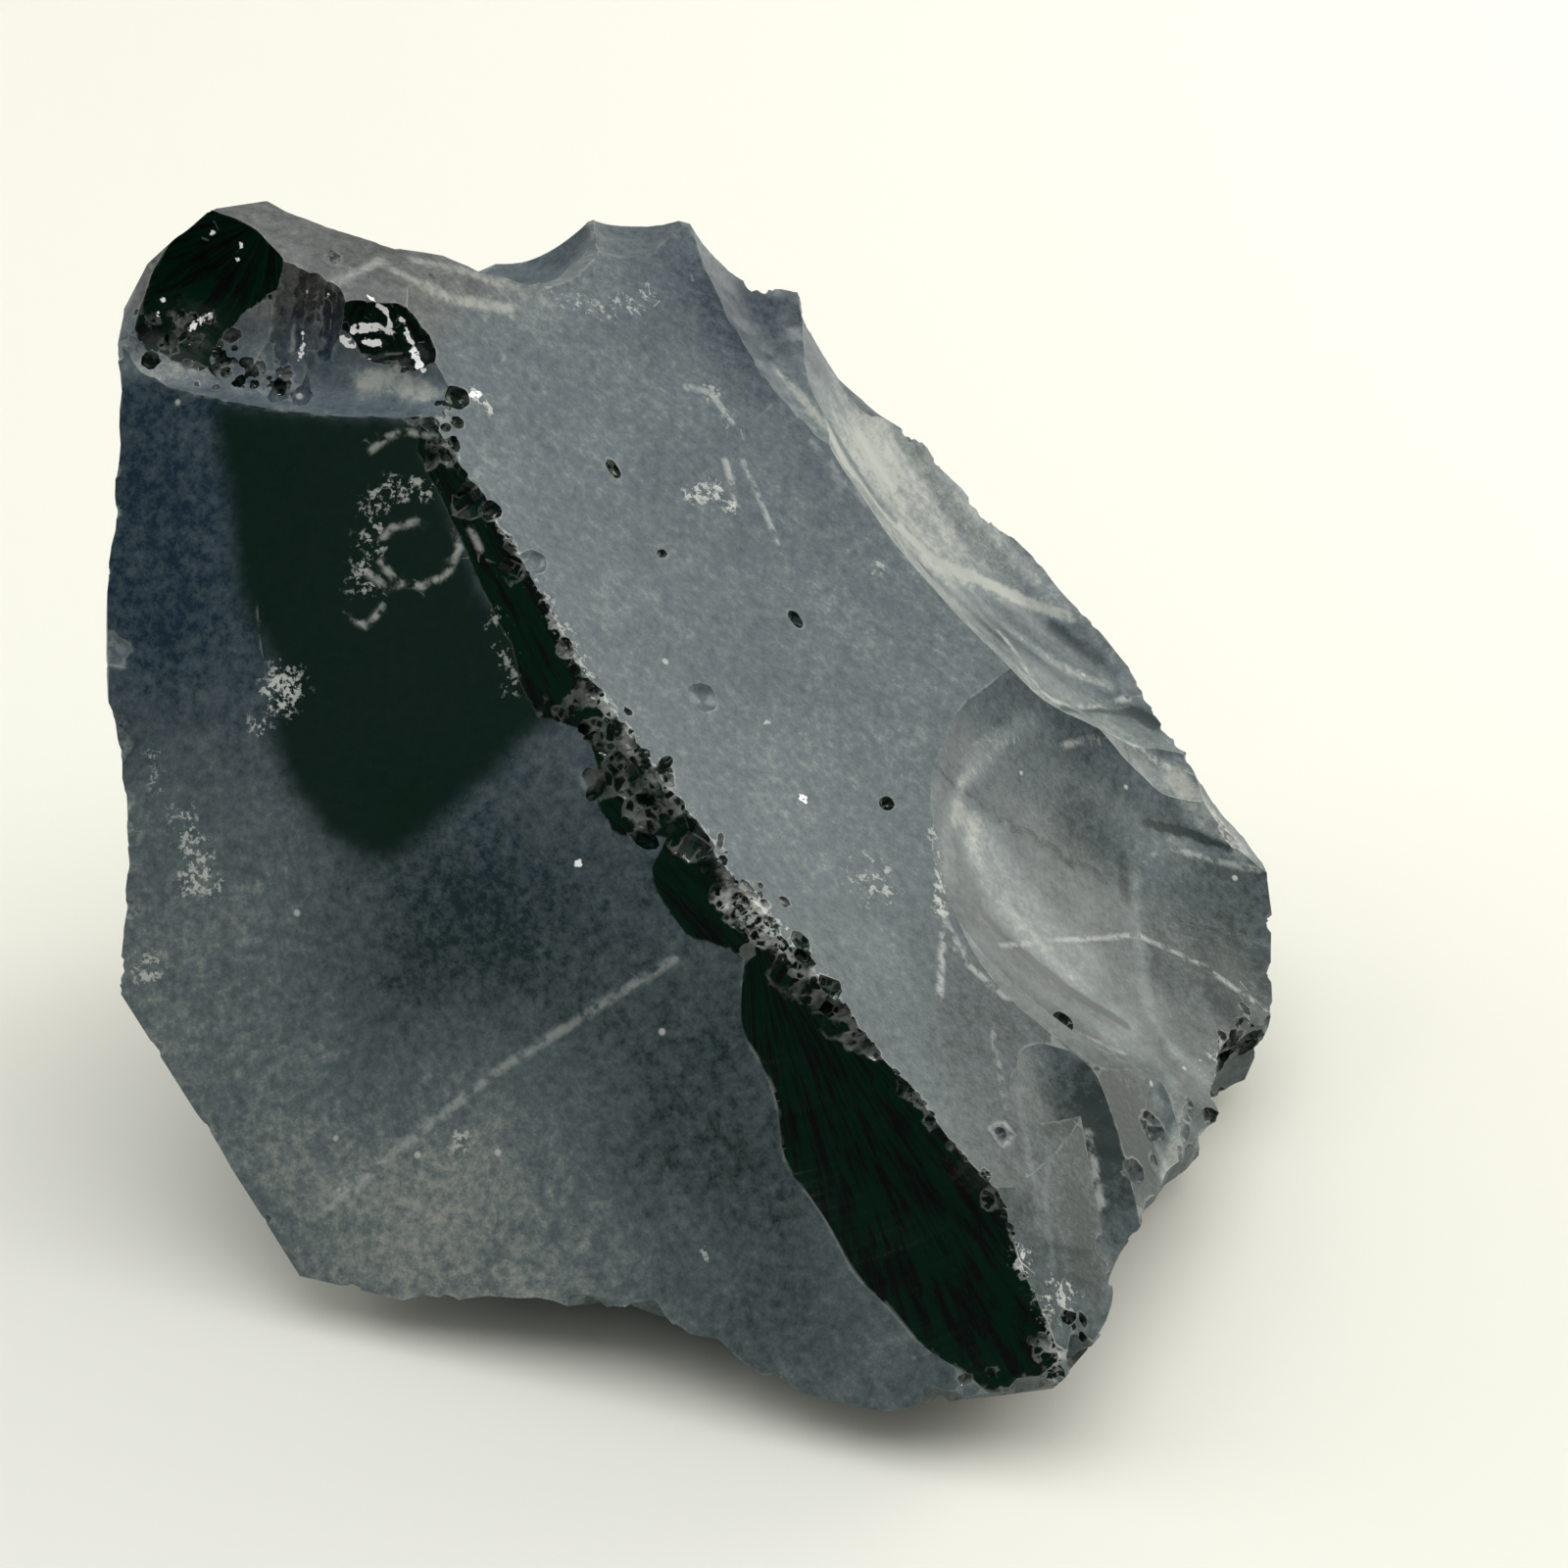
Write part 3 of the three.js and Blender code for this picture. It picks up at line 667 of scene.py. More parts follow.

# Broad soft strokes where the frost is thicker, or, with a negative strength, thinner. Many are
# painted light and painted shade: lit walls, rims and bands made lighter, shaded steps and grooves
# darker
FROST_AND_SHADING_STROKES = marks(
    # Round shell break: outer band and inner wall lightened as painted light, and the dark crescent
    # between them as a painted shadow line along the step
    ([(33, 65, 38), (29, 59.5, 38), (25.5, 53, 37.5), (23.9, 46.5, 36.3), (24.3, 42, 34.8)],
      1.8, 0.32),
    ([(26.6, 51.4, 34.8), (26.8, 46.5, 33), (28.8, 43.9, 30), (32.6, 42.6, 26), (37.2, 41.6, 22),
      (42.5, 40.2, 18)], 2.4, 0.3),
    ([(28, 50, 33), (31.5, 46.5, 28.5), (37.5, 44.6, 22.3)], 5, 0.32),
    ([(27, 59, 38.4), (25.6, 53, 37.4), (25.4, 49, 36.2)], 1.6, 0.3),
    ([(26, 42, 32), (28.5, 40.6, 29.2), (30.1, 40.3, 27.7), (36.6, 40.1, 21.9), (41.9, 39.9, 18.1)],
      0.8, -1),
    ([(26.5, 36, 30.5), (30.5, 36, 26.3), (37, 37.3, 20.9), (44, 37, 15.8)], 2.4, 0.28),
    # Its lobe: rim and bright edge as painted light, dark crack, and folds
    ([(49, 70.3, 28), (51.3, 68.5, 25.2), (55.5, 67, 21.5)], 3, 0.5),
    ([(41, 68, 32), (46.5, 67.5, 28.5)], 2.6, 0.15),
    ([(45.5, 64.5, 25.9), (50.5, 66, 23.8), (54.6, 66.5, 21.6)], 0.7, -0.7),
    ([(48, 64.5, 24), (53, 65.3, 21.8)], 1, 0.3),
    ([(42.7, 60.3, 24.8), (42.9, 56.3, 22.2)], 1.1, -0.35),
    ([(44.5, 58.5, 23), (44.3, 54, 20.6)], 1, 0.22),
    ([(44.1, 52.8, 19.9), (44.9, 43.2, 16.3), (46.7, 39.8, 14.5)], 1.2, 0.3),
    ([(46.5, 40, 14.5), (49, 38.5, 12.8)], 2, 0.35),
    ([(53.5, 50, 16), (54.5, 57, 18)], 4, -0.14),
    ([(36.9, 68.2, 37.3), (41, 74, 34), (44.9, 76.8, 31.8)], 0.7, -0.8),
    ([(45.5, 76.9, 31.5), (47, 76.5, 30.5)], 1.3, -0.8),
    ([(27.3, 54.4, 36.2), (28.3, 55.8, 35.6)], 0.6, -0.7),
    # Folds below it, made lighter and darker as painted light and shade
    ([(45.9, 35.1, 14.7), (46.4, 26.7, 14.8), (44.7, 22.4, 13.4)], 1.6, 0.5),
    ([(32.9, 16.1, 21.8), (32.3, 10.6, 19.9), (32.9, 5.7, 16.5)], 0.7, 0.25),
    ([(30.4, 21.4, 24.6), (31, 13.9, 22.4), (31.8, 8.1, 19.1)], 0.6, 0.2),
    ([(35, 13, 17.5), (35.5, 7, 14)], 2.6, -0.25),
    # Bands of painted light and shade along the swept break
    ([(8, 87, 66.9), (15, 80, 58.7), (23.2, 80.8, 49), (31.7, 84.5, 41.9), (38.4, 85.5, 38.2)], 1.2,
      0.5),
    ([(7.1, 87.5, 67.6), (14.2, 83.4, 59.8), (20, 81, 52)], 0.8, -0.5),
    ([(21, 77, 50.5), (26.5, 77.5, 44.5), (31.5, 75.5, 40.5)], 0.8, -0.5),
    ([(32, 79.9, 40.2), (36.6, 78.5, 36.9), (42.4, 78.8, 33.8)], 1.2, 0.4),
    ([(24, 80, 48.5), (33, 84, 41.5)], 2.4, 0.25),
    ([(12, 90, 66), (21, 88, 57)], 2, -0.3),
    ([(37, 83.5, 38), (43, 81.5, 34.5)], 1.6, -0.45),
    # Creases of the top rim
    ([(-33.5, 66.8, 84.8), (-31.5, 68.2, 85.2), (-29.5, 71.1, 85.2)], 1, 0.5),
    ([(-28.5, 70, 84.8), (-25.7, 68.8, 83.8), (-23, 69.6, 82), (-17.7, 73, 79.4)], 1, 0.4),
    ([(-26.9, 72.7, 84.6), (-22.3, 73.4, 83.3), (-18.7, 74.8, 81.1)], 0.8, 0.35),
    # Worn ledge under the knob
    ([(-54, 66, 76.4), (-52.7, 65.3, 76.6), (-46.7, 65.4, 76.6)], 2, 0.3),
    ([(-30.8, 62.3, 76.7), (-28.2, 62, 77), (-25.1, 60.1, 76.6)], 2, 0.45),
    ([(-41.3, 65, 78.6)], 2, 0.25),
)


# ---------------------------------------------------------------- cutting the stone

def convex_block():
    """The block before its shell-shaped breaks: the hull of its corners."""
    block = bmesh.new()
    for corner in CORNERS.values():
        block.verts.new(corner)
    hull = bmesh.ops.convex_hull(block, input=block.verts)
    bmesh.ops.delete(block, geom=hull["geom_interior"], context="VERTS")
    block.verts.index_update()
    points = [vertex.co[:] for vertex in block.verts]
    faces = [[vertex.index for vertex in face.verts] for face in block.faces]
    block.free()
    return numbered_object("block", points, faces, 0)


def cut_breaks(block, breaks, first_number=1):
    """The block with every break cut out of it, as a mesh. The block itself is used up."""
    tools = bpy.data.collections.new("tools")
    for number, one in enumerate(breaks, start=first_number):
        tools.objects.link(one.tool(number))
    cut = block.modifiers.new("breaks", "BOOLEAN")
    cut.operand_type = "COLLECTION"
    cut.collection = tools
    cut.operation = "DIFFERENCE"
    cut.solver = "MANIFOLD"
    evaluated = block.evaluated_get(bpy.context.evaluated_depsgraph_get())
    stone = bpy.data.meshes.new_from_object(evaluated)
    for used in [block, *tools.objects]:
        mesh = used.data
        bpy.data.objects.remove(used)
        bpy.data.meshes.remove(mesh)
    bpy.data.collections.remove(tools)
    return stone


def cut_stone():
    """The block with its big breaks and then its small chips, and the list of them all."""
    rough = cut_breaks(convex_block(), BIG_BREAKS)
    tree = surface_finder(rough)
    chips = small_pits(tree) + small_chips(rough) + crushed_chips(tree)
    block = add_object("rough stone", rough)
    return cut_breaks(block, chips, len(BIG_BREAKS) + 1), BIG_BREAKS + chips


def keep_largest_piece(stone):
    """Splinters that the breaks have cut free fall away."""
    left = set(stone.faces)
    pieces = []
    while left:
        piece = [left.pop()]
        for face in piece:
            for edge in face.edges:
                for other in edge.link_faces:
                    if other in left:
                        left.discard(other)
                        piece.append(other)
        pieces.append(piece)
    pieces.sort(key=len)
    for piece in pieces[:-1]:
        bmesh.ops.delete(stone, geom=piece, context="FACES")


# Edges shorter than this are closed up
SLIVER = 0.05
# An edge is sharp past the first turn, and past the second where two breaks meet
SHARP_TURN, BREAK_TURN = math.radians(28), math.radians(7)
MOST_CUTS = 6


def is_sharp(edge, numbers):
    """True for an edge between two breaks, and for any other edge that turns sharply."""
    if len(edge.link_faces) != 2:
        return True
    turn = edge.calc_face_angle(0)
    first, second = edge.link_faces
    return turn > SHARP_TURN or (first[numbers] != second[numbers] and turn > BREAK_TURN)


# How long the side of a triangle may be, and how near to an edge, a ridge or a line it has to be
# shorter. The back and the base, which carry no marks, are coarse.
COARSE_PITCH, PLAIN_PITCH, EDGE_PITCH, RIDGE_PITCH, LINE_PITCH = 3, 1.6, 1.2, 0.8, 0.45
EDGE_MARGIN, RIDGE_MARGIN, LINE_MARGIN = 3, 5, 0.4
BACK_START, BACK_TOP, BACK_RIGHT, BASE_TOP = 70, 60, 20, 3


def mesh_pitch(places):
    """How long a triangle's side may be at each place."""
    x, y, z = places.T
    pitch = np.full(len(places), PLAIN_PITCH)
    pitch[(y > BACK_START) & (z < BACK_TOP) & (x < BACK_RIGHT)] = COARSE_PITCH
    pitch[z < BASE_TOP] = COARSE_PITCH
    for edge in CHIPPED_EDGES:
        near = edge.gap(places) < EDGE_MARGIN
        pitch[near] = np.minimum(pitch[near], EDGE_PITCH)
    pitch[distance_to_path(places, RIDGE) < RIDGE_MARGIN] = RIDGE_PITCH
    for mark in [*BRUISES, *FROST_AND_SHADING_STROKES]:
        pitch[mark.gap(places) < mark.width] = RIDGE_PITCH
    for mark in [*PALE_LINES, *PAINTED_GLINTS]:
        pitch[mark.gap(places) < mark.width + LINE_MARGIN] = LINE_PITCH
    return pitch


def refine(stone, numbers):
    """Divide long edges until the mesh is fine enough to carry the surface's marks."""
    for _ in range(MOST_CUTS):
        edges = list(stone.edges)
        ends = np.array([(edge.verts[0].co, edge.verts[1].co) for edge in edges])
        lengths = np.linalg.norm(ends[:, 0] - ends[:, 1], axis=1)
        too_long = np.flatnonzero(lengths > mesh_pitch(ends.mean(axis=1)))
        if not len(too_long):
            break
        bmesh.ops.subdivide_edges(stone, edges=[edges[i] for i in too_long], cuts=1)
        wide = [face for face in stone.faces if len(face.verts) > 3]
        bmesh.ops.triangulate(stone, faces=wide)
        inner = [edge for edge in stone.edges if not is_sharp(edge, numbers)]
        bmesh.ops.beautify_fill(stone, faces=stone.faces, edges=inner, method="ANGLE")


def shape_stone():
    """The stone as a fine mesh in millimetres, and the list of its breaks."""
    mesh, breaks = cut_stone()
    stone = bmesh.new()
    stone.from_mesh(mesh)
    numbers = stone.faces.layers.int["break"]
    keep_largest_piece(stone)
    bmesh.ops.triangulate(stone, faces=[face for face in stone.faces if len(face.verts) > 3])
    slivers = [edge for edge in stone.edges if edge.calc_length() < SLIVER]
    bmesh.ops.collapse(stone, edges=slivers)
    refine(stone, numbers)
    for edge in stone.edges:
        edge.smooth = not is_sharp(edge, numbers)
    for face in stone.faces:
        face.smooth = True
    stone.to_mesh(mesh)
    stone.free()
    return mesh, breaks


# ---------------------------------------------------------------- painting the surface

def read(items, name, width, kind=np.float32):
    """One property of every item of a mesh as an array."""
    values = np.empty(len(items) * width, kind)
    items.foreach_get(name, values)
    return values.reshape(-1, width) if width > 1 else values


def write_corners(mesh, name, values, kind="FLOAT"):
    layer = mesh.attributes.new(name, kind, "CORNER")
    channel = "value" if kind == "FLOAT" else "vector"
    layer.data.foreach_set(channel, np.ascontiguousarray(values, np.float32).ravel())


def depth_inside(points, outline, normal):
    """How far inside an outline each point is, seen along a normal; negative outside."""
    normal = Vector(normal).normalized()
    right = Vector((0, 0, 1)).cross(normal).normalized()
    axes = np.array([right, normal.cross(right)])
    flat = points @ axes.T
    corners = np.array(outline) @ axes.T
    inside = np.zeros(len(points), bool)
    for (x0, y0), (x1, y1) in zip(corners, np.roll(corners, -1, axis=0)):
        spans = (y0 > flat[:, 1]) != (y1 > flat[:, 1])
        crossing = x0 + (flat[:, 1] - y0) / (y1 - y0 + TINY) * (x1 - x0)
        inside ^= spans & (flat[:, 0] < crossing)
    closed = np.vstack([corners, corners[:1]])
    gap = distance_to_path(flat, closed)
    return np.where(inside, gap, -gap)


# The dark patch on the front break and the fresh band beside the ridge: their outlines, and
# how far their edges fade
DARK_PATCH = [
    (-45.5, 61.5, 75), (-24.9, 55.5, 76.5), (-19.4, 46, 63.6), (-9, 39, 57), (-13, 38, 53.5),
    (-15.7, 37.8, 51.6), (-18.5, 37, 48.5), (-21, 36.8, 46.5), (-24.1, 35.8, 43.2),
    (-27.9, 35.4, 40.3), (-31, 36.2, 40), (-34.5, 38.3, 41.5), (-37.8, 41.5, 44.5),
    (-39.5, 44.5, 49), (-39.5, 47.5, 54), (-43.1, 52.2, 60.2), (-43.5, 56, 66.5),
]
PATCH_EDGE = 3
FRESH_BAND = [
    (-24.9, 55.5, 76.5), (-25.5, 54, 73.5), (-23, 51, 69.8), (-19.4, 46, 63.6),
    (-16.6, 42.6, 59.3), (-15.7, 40.5, 56.3), (-14, 38.6, 54.2), (-9.3, 36.8, 53.8),
    (-8.4, 34.5, 50.5), (-8.6, 33.2, 48.1), (-6.6, 31.3, 45.9), (-2, 30, 46.5),
    (-3.7, 28.9, 43.4), (-2, 26.7, 40.6), (-0.2, 25.1, 39), (2.9, 23.9, 38.7), (12, 19, 36),
    (19, 15, 33), (24, 14, 34), (8.7, 25.4, 44.7), (-0.2, 33, 52.5), (-7.4, 38.9, 58.3),
    (-12.9, 44.3, 64.5), (-22.1, 54.5, 76.5),
]
BAND_EDGE = 0.7

# The front is the block's own face and its first breaks, where they face nearly as it does
FRONT_BREAKS, FRONT_LIKENESS = 2, 0.9
# How thick the frost is on the front and on the block's other faces, and where it differs: the
# middle and radius of a soft patch, and how much is added. The patches are partly frost and
# partly painted light and shade, such as the darkened top rim and the lightened foot of the front
FRONT_FROST, BLOCK_FROST = 0.48, 0.5
FRONT_FROST_AND_SHADING_PATCHES = [
    ((-50, 62, 70), 16, -0.4), ((-50, 50, 54), 13, -0.25), ((-6, 25, 36), 15, -0.22),
    ((2, 15, 24), 12, -0.28), ((8, 5, 12), 9, -0.15), ((-22, 18, 12), 20, 0.3),
    ((-46, 34, 28), 16, 0.15), ((-18, 34, 42), 12, -0.2), ((-27, 29, 32), 13, -0.3),
]
OTHER_FROST_AND_SHADING_PATCHES = [
    ((36, 12, 16), 16, -0.36), ((30, 28, 28), 12, -0.24), ((56, 52, 18), 13, -0.2),
    ((-30, 72, 86), 13, -0.1), ((-18, 77, 81), 9, 0.15), ((10, 90, 70), 12, -0.3),
    ((46.5, 75, 31), 4, -0.3), ((4, 90, 73), 8, -0.3),
    ((36, 80, 38), 9, -0.36), ((40.8, 23.5, 18.4), 6, -0.55), ((45.5, 60, 23.5), 5, 0.35),
    ((17.5, 88, 56), 4, 0.45), ((31, 79.5, 41), 5, -0.25), ((42, 78, 34), 4, -0.15),
    ((38.5, 57, 28), 5, -0.2),
]


def paint_frost_and_shading(points, front, frost):
    """How thick the frost is at each point, given that of each break away from the front, with soft
    patches of painted light and shade added.
    """
    frost = np.where(front, FRONT_FROST, frost)
    for patches, here in ((FRONT_FROST_AND_SHADING_PATCHES, front), (OTHER_FROST_AND_SHADING_PATCHES, ~front)):
        for middle, radius, change in patches:
            gap = np.linalg.norm(points - np.array(middle), axis=1)
            frost += here * change * np.exp(-(gap / radius) ** 2)
    return frost


def paint_marks(kind, points):
    """The strongest of one kind of mark at each point."""
    strength = np.zeros(len(points))
    for mark in kind:
        strength = np.maximum(strength, mark.paint(points))
    return strength


def shell_places(breaks, numbers, points):
    """Each point's distance from the blow of its break, its place round it, and the number."""
    centres = np.array([[0, 0, 0]] + [one.centre for one in breaks])[numbers]
    axes = np.array([np.eye(3)] + [np.array(one.axes) for one in breaks])[numbers]
    blows = np.array([(0, 0)] + [one.impact for one in breaks])[numbers]
    sizes = np.array([1] + [one.half_length for one in breaks])[numbers]
    local = np.einsum("ijk,ik->ij", axes, points - centres)
    forward = local[:, 0] - blows[:, 0]
    across = local[:, 2] - blows[:, 1]
    turn = np.arctan2(across, forward)
    return np.stack([np.hypot(forward, across), turn * (sizes + 1), numbers], axis=1)


def paint(mesh, breaks):
    """Give every corner its finish and its place on the shell of its break."""
    points = read(mesh.vertices, "co", 3)
    numbers = read(mesh.attributes["break"].data, "value", 1, np.int32)
    corner_vertex = read(mesh.loops, "vertex_index", 1, np.int32)
    sides = read(mesh.polygons, "loop_total", 1, np.int32)
    corner_number = np.repeat(numbers, sides)
    normals = np.repeat(read(mesh.polygons, "normal", 3), sides, axis=0)
    corner_point = points[corner_vertex]
    finish = np.array([FROSTED] + [one.finish for one in breaks])[corner_number]
    frost = np.array([BLOCK_FROST] + [one.frost for one in breaks])[corner_number]
    shell = shell_places(breaks, corner_number, corner_point)
    front = (corner_number <= FRONT_BREAKS) & (normals @ np.array(FRONT_NORMAL) > FRONT_LIKENESS)
    patch = smooth_step(depth_inside(corner_point, DARK_PATCH, FRONT_NORMAL),
                        -PATCH_EDGE, PATCH_EDGE)
    band = smooth_step(depth_inside(corner_point, FRESH_BAND, FRONT_NORMAL),
                       -BAND_EDGE, BAND_EDGE)
    write_corners(mesh, "patch", front * patch)
    write_corners(mesh, "fresh", np.maximum(finish, front * band))
    # Frost strokes, many of them painted light and painted shade, are added to the frost
    frost_and_shading_strokes = sum(mark.paint(points) for mark in FROST_AND_SHADING_STROKES)[corner_vertex]
    write_corners(mesh, "frost", paint_frost_and_shading(corner_point, front, frost) + frost_and_shading_strokes)
    # The painted glints are stored with the bruises and the pale lines
    for name, kind in dict(crushed=BRUISES, line=PALE_LINES, painted_glint=PAINTED_GLINTS).items():
        write_corners(mesh, name, paint_marks(kind, points)[corner_vertex])
    write_corners(mesh, "edge", sharp_vertices(mesh)[corner_vertex])
    write_corners(mesh, "shell", shell, "FLOAT_VECTOR")


def sharp_vertices(mesh):
    """1 for each vertex on a sharp edge and 0 for the others."""
    ends = read(mesh.edges, "vertices", 2, np.int32)
    sharp = read(mesh.edges, "use_edge_sharp", 1, bool)
    marked = np.zeros(len(mesh.vertices))
    marked[ends[sharp].ravel()] = 1
    return marked


# ---------------------------------------------------------------- materials

class Nodes:
    """A short way to make and join the nodes of a material or a world."""

    def __init__(self, owner):
        owner.use_nodes = True
        self.owner = owner
        self.tree = owner.node_tree

    def add(self, kind, inputs=(), **settings):
        node = self.tree.nodes.new(kind)
        for name, value in settings.items():
            setattr(node, name, value)
        for key, value in dict(inputs).items():
            self.set(node.inputs[key], value)
        return node

    def set(self, socket, value):
        if isinstance(value, bpy.types.NodeSocket):
            self.tree.links.new(value, socket)
        else:
            socket.default_value = value

    def finish(self, shader, inputs):
        """Fill in the inputs of the last shader, and give back the material or world."""
        for name, value in inputs.items():
            self.set(self.tree.nodes[shader].inputs[name], value)
        return self.owner

    def attribute(self, name, output="Fac"):
        return self.add("ShaderNodeAttribute", attribute_name=name).outputs[output]

    def math(self, operation, first, second=0.0, third=0.0, clamp=False):
        inputs = {0: first, 1: second, 2: third}
        node = self.add("ShaderNodeMath", inputs, operation=operation, use_clamp=clamp)
        return node.outputs[0]

    def add_up(self, first, second, clamp=False):
        return self.math("ADD", first, second, clamp=clamp)

    def times(self, first, second, clamp=False):
        return self.math("MULTIPLY", first, second, clamp=clamp)

    def most(self, first, second, clamp=False):
        return self.math("MAXIMUM", first, second, clamp=clamp)

    def noise(self, vector, scale, detail=2.0, roughness=0.5):
        inputs = {"Vector": vector, "Scale": scale, "Detail": detail, "Roughness": roughness}
        return self.add("ShaderNodeTexNoise", inputs).outputs["Fac"]

    def shell_noise(self, away, around, detail, roughness=0.5):
        """Noise on the shell of each break. away and around say how fast it changes."""
        shell = self.attribute("shell", "Vector")
        inputs = {0: shell, 1: (away, around, BREAK_STEP)}
        place = self.add("ShaderNodeVectorMath", inputs, operation="MULTIPLY").outputs[0]
        return self.noise(place, 1, detail, roughness)

    def swing(self, value, span):
        """A value between 0 and 1, moved so that it swings evenly to both sides of 0."""
        return self.math("MULTIPLY_ADD", value, span, -span / 2)

    def ramp(self, value, low, high):
        """0 below low, 1 above high and smooth between them."""
        inputs = {"Value": value, "From Min": low, "From Max": high}
        node = self.add("ShaderNodeMapRange", inputs, interpolation_type="SMOOTHSTEP")
        return node.outputs["Result"]

    def move(self, share, start, end, base=None):
        """start where the share is 0 and end where it is 1. base is used in place of start."""
        return self.math("MULTIPLY_ADD", share, end - start, start if base is None else base)

    def blend(self, share, first, second):
        """A blend of two colours."""
        node = self.add("ShaderNodeMix", data_type="RGBA")
        self.set(node.inputs["Factor"], share)
        self.set(node.inputs[6], first)
        self.set(node.inputs[7], second)
        return node.outputs[2]


THIN_FROST = (0.158, 0.197, 0.203, 1)
WARM_FROST = (0.2, 0.205, 0.195, 1)
THICK_FROST = (0.29, 0.305, 0.27, 1)
THICK_SHARE = (0.5, 1)
CLEAR_BLUE = (0.003, 0.017, 0.032, 1)
CLEAR_GREEN = (0.006, 0.018, 0.016, 1)
CLEAR_BROWN = (0.012, 0.013, 0.013, 1)
PATCH_GREEN = (0.002, 0.012, 0.007, 1)
FRESH_GREEN = (0.001, 0.012, 0.006, 1)
FRESH_BROWN = (0.003, 0.003, 0.003, 1)
CRUSHED_WHITE = (0.5, 0.52, 0.48, 1)
# The next colour is the near-white of the painted glints
GLINT_WHITE = (0.95, 0.93, 0.92, 1)
# Between these heights the clear glass turns from green to blue, and all of it turns warm
BLUE_HEIGHTS = (0.02, 0.06)
WARM_HEIGHTS = (0.077, 0.084)

FROSTED_ROUGHNESS, PATCH_ROUGHNESS, FRESH_ROUGHNESS, CRUSHED_ROUGHNESS = 0.42, 0.3, 0.1, 0.7
FROSTED_SPECULAR, FRESH_SPECULAR, WARM_SPECULAR = 0.3, 0.14, 0.16
PATCH_SHINE = 0.7
PATCH_FADE, PATCH_STRENGTH = (0.1, 0.9), 0.97
FRESH_FADE = (0.35, 0.65)
GLASS_IOR = 1.49
BUMP_STRENGTH, BUMP_HEIGHT = 0.5, 0.0006

# The break's number, times this, keeps the noise of one break apart from that of the next
BREAK_STEP = 7.3
# Noise in the frost: the scale, detail and roughness of each, and how far it swings
MOTTLE, MOTTLE_SWING = (120, 7, 0.68), 0.6
GRAIN, GRAIN_SWING = (900, 5, 0.8), 1.3
STREAKS, STREAK_SWING = (0.05, 2.2, 5, 0.7), 0.25
# Streaks of black and green in fresh glass, and the wobble of its outline
CLOUDS, CLOUD_EDGE = (0.15, 1.2, 4, 0.7), (0.42, 0.62)
WOBBLE, WOBBLE_SWING, PATCH_WOBBLE = (300, 4, 0.6), 0.8, 0.5


def glass_colour(n, place, height, patch, fresh, white):
    """Grey where frost is thick, and dark where it is thin or the glass is fresh."""
    mottle = n.swing(n.noise(place, *MOTTLE), MOTTLE_SWING)
    streaks = n.swing(n.shell_noise(*STREAKS), STREAK_SWING)
    grain = n.swing(n.noise(place, *GRAIN), GRAIN_SWING)
    # The frost attribute also carries the painted light and shade of the strokes and patches
    frost = n.add_up(n.attribute("frost"), n.add_up(mottle, streaks))
    frost = n.add_up(frost, grain, clamp=True)
    warm = n.ramp(height, *WARM_HEIGHTS)
    frosted = n.blend(warm, THIN_FROST, WARM_FROST)
    frosted = n.blend(n.ramp(frost, *THICK_SHARE), frosted, THICK_FROST)
    clear = n.blend(n.ramp(height, *BLUE_HEIGHTS), CLEAR_GREEN, CLEAR_BLUE)
    clear = n.blend(warm, clear, CLEAR_BROWN)
    dull = n.blend(patch, n.blend(frost, clear, frosted), PATCH_GREEN)
    cloud = n.ramp(n.shell_noise(*CLOUDS), *CLOUD_EDGE)
    black = n.blend(cloud, FRESH_GREEN, FRESH_BROWN)
    return n.blend(white, n.blend(fresh, dull, black), CRUSHED_WHITE)


SPECK_SCALE, SPECK_RARITY, SPECK_WHITENESS = 260, 0.93, 0.7
SPECK_EDGE = (0.12, 0.05)  # from the outside in


def specks(n, place):
    """Tiny white dots, scattered thinly."""
    spot = n.add("ShaderNodeTexVoronoi", {"Vector": place, "Scale": SPECK_SCALE})
    chance = n.add("ShaderNodeSeparateColor", {0: spot.outputs["Color"]}).outputs[0]
    dot = n.ramp(spot.outputs["Distance"], *SPECK_EDGE)
    return n.times(n.math("GREATER_THAN", chance, SPECK_RARITY), dot)


# Noise that breaks up bruises, worn edges with their painted highlight, and lines: its scale,
# detail and roughness, and the values between which it goes from nothing to white
FLAKES, FLAKE_GROWTH, FLAKE_EDGE = (1100, 5, 0.7), 0.16, (0.46, 0.53)
WEAR_AND_HIGHLIGHT, WEAR_AND_HIGHLIGHT_EDGE, WEAR_AND_HIGHLIGHT_FADE, WEAR_AND_HIGHLIGHT_WHITENESS = (420, 3), (0.4, 0.6), (0.6, 1), 0.18
LINE_GAPS, LINE_EDGE = (800, 4), (0.35, 0.6)


def crushed_glass(n, place):
    """How white the surface is: bruises, worn edges that also carry a painted highlight, pale lines
    and specks.
    """
    crushed = n.attribute("crushed")
    growth = n.math("MULTIPLY_ADD", crushed, FLAKE_GROWTH, -FLAKE_GROWTH)
    flakes = n.ramp(n.add_up(n.noise(place, *FLAKES), growth), *FLAKE_EDGE)
    bruise = n.times(n.math("MINIMUM", crushed, 1.0), flakes)
    # Sharp edges are whitened, partly as wear and partly as a painted highlight along them
    worn_and_highlit = n.times(n.ramp(n.attribute("edge"), *WEAR_AND_HIGHLIGHT_FADE),
                   n.ramp(n.noise(place, *WEAR_AND_HIGHLIGHT), *WEAR_AND_HIGHLIGHT_EDGE))
    worn_and_highlit = n.times(worn_and_highlit, n.add_up(crushed, WEAR_AND_HIGHLIGHT_WHITENESS), clamp=True)
    line = n.times(n.attribute("line"), n.ramp(n.noise(place, *LINE_GAPS), *LINE_EDGE))
    white = n.most(n.most(bruise, worn_and_highlit), line)
    return n.most(white, n.times(specks(n, place), SPECK_WHITENESS), clamp=True)


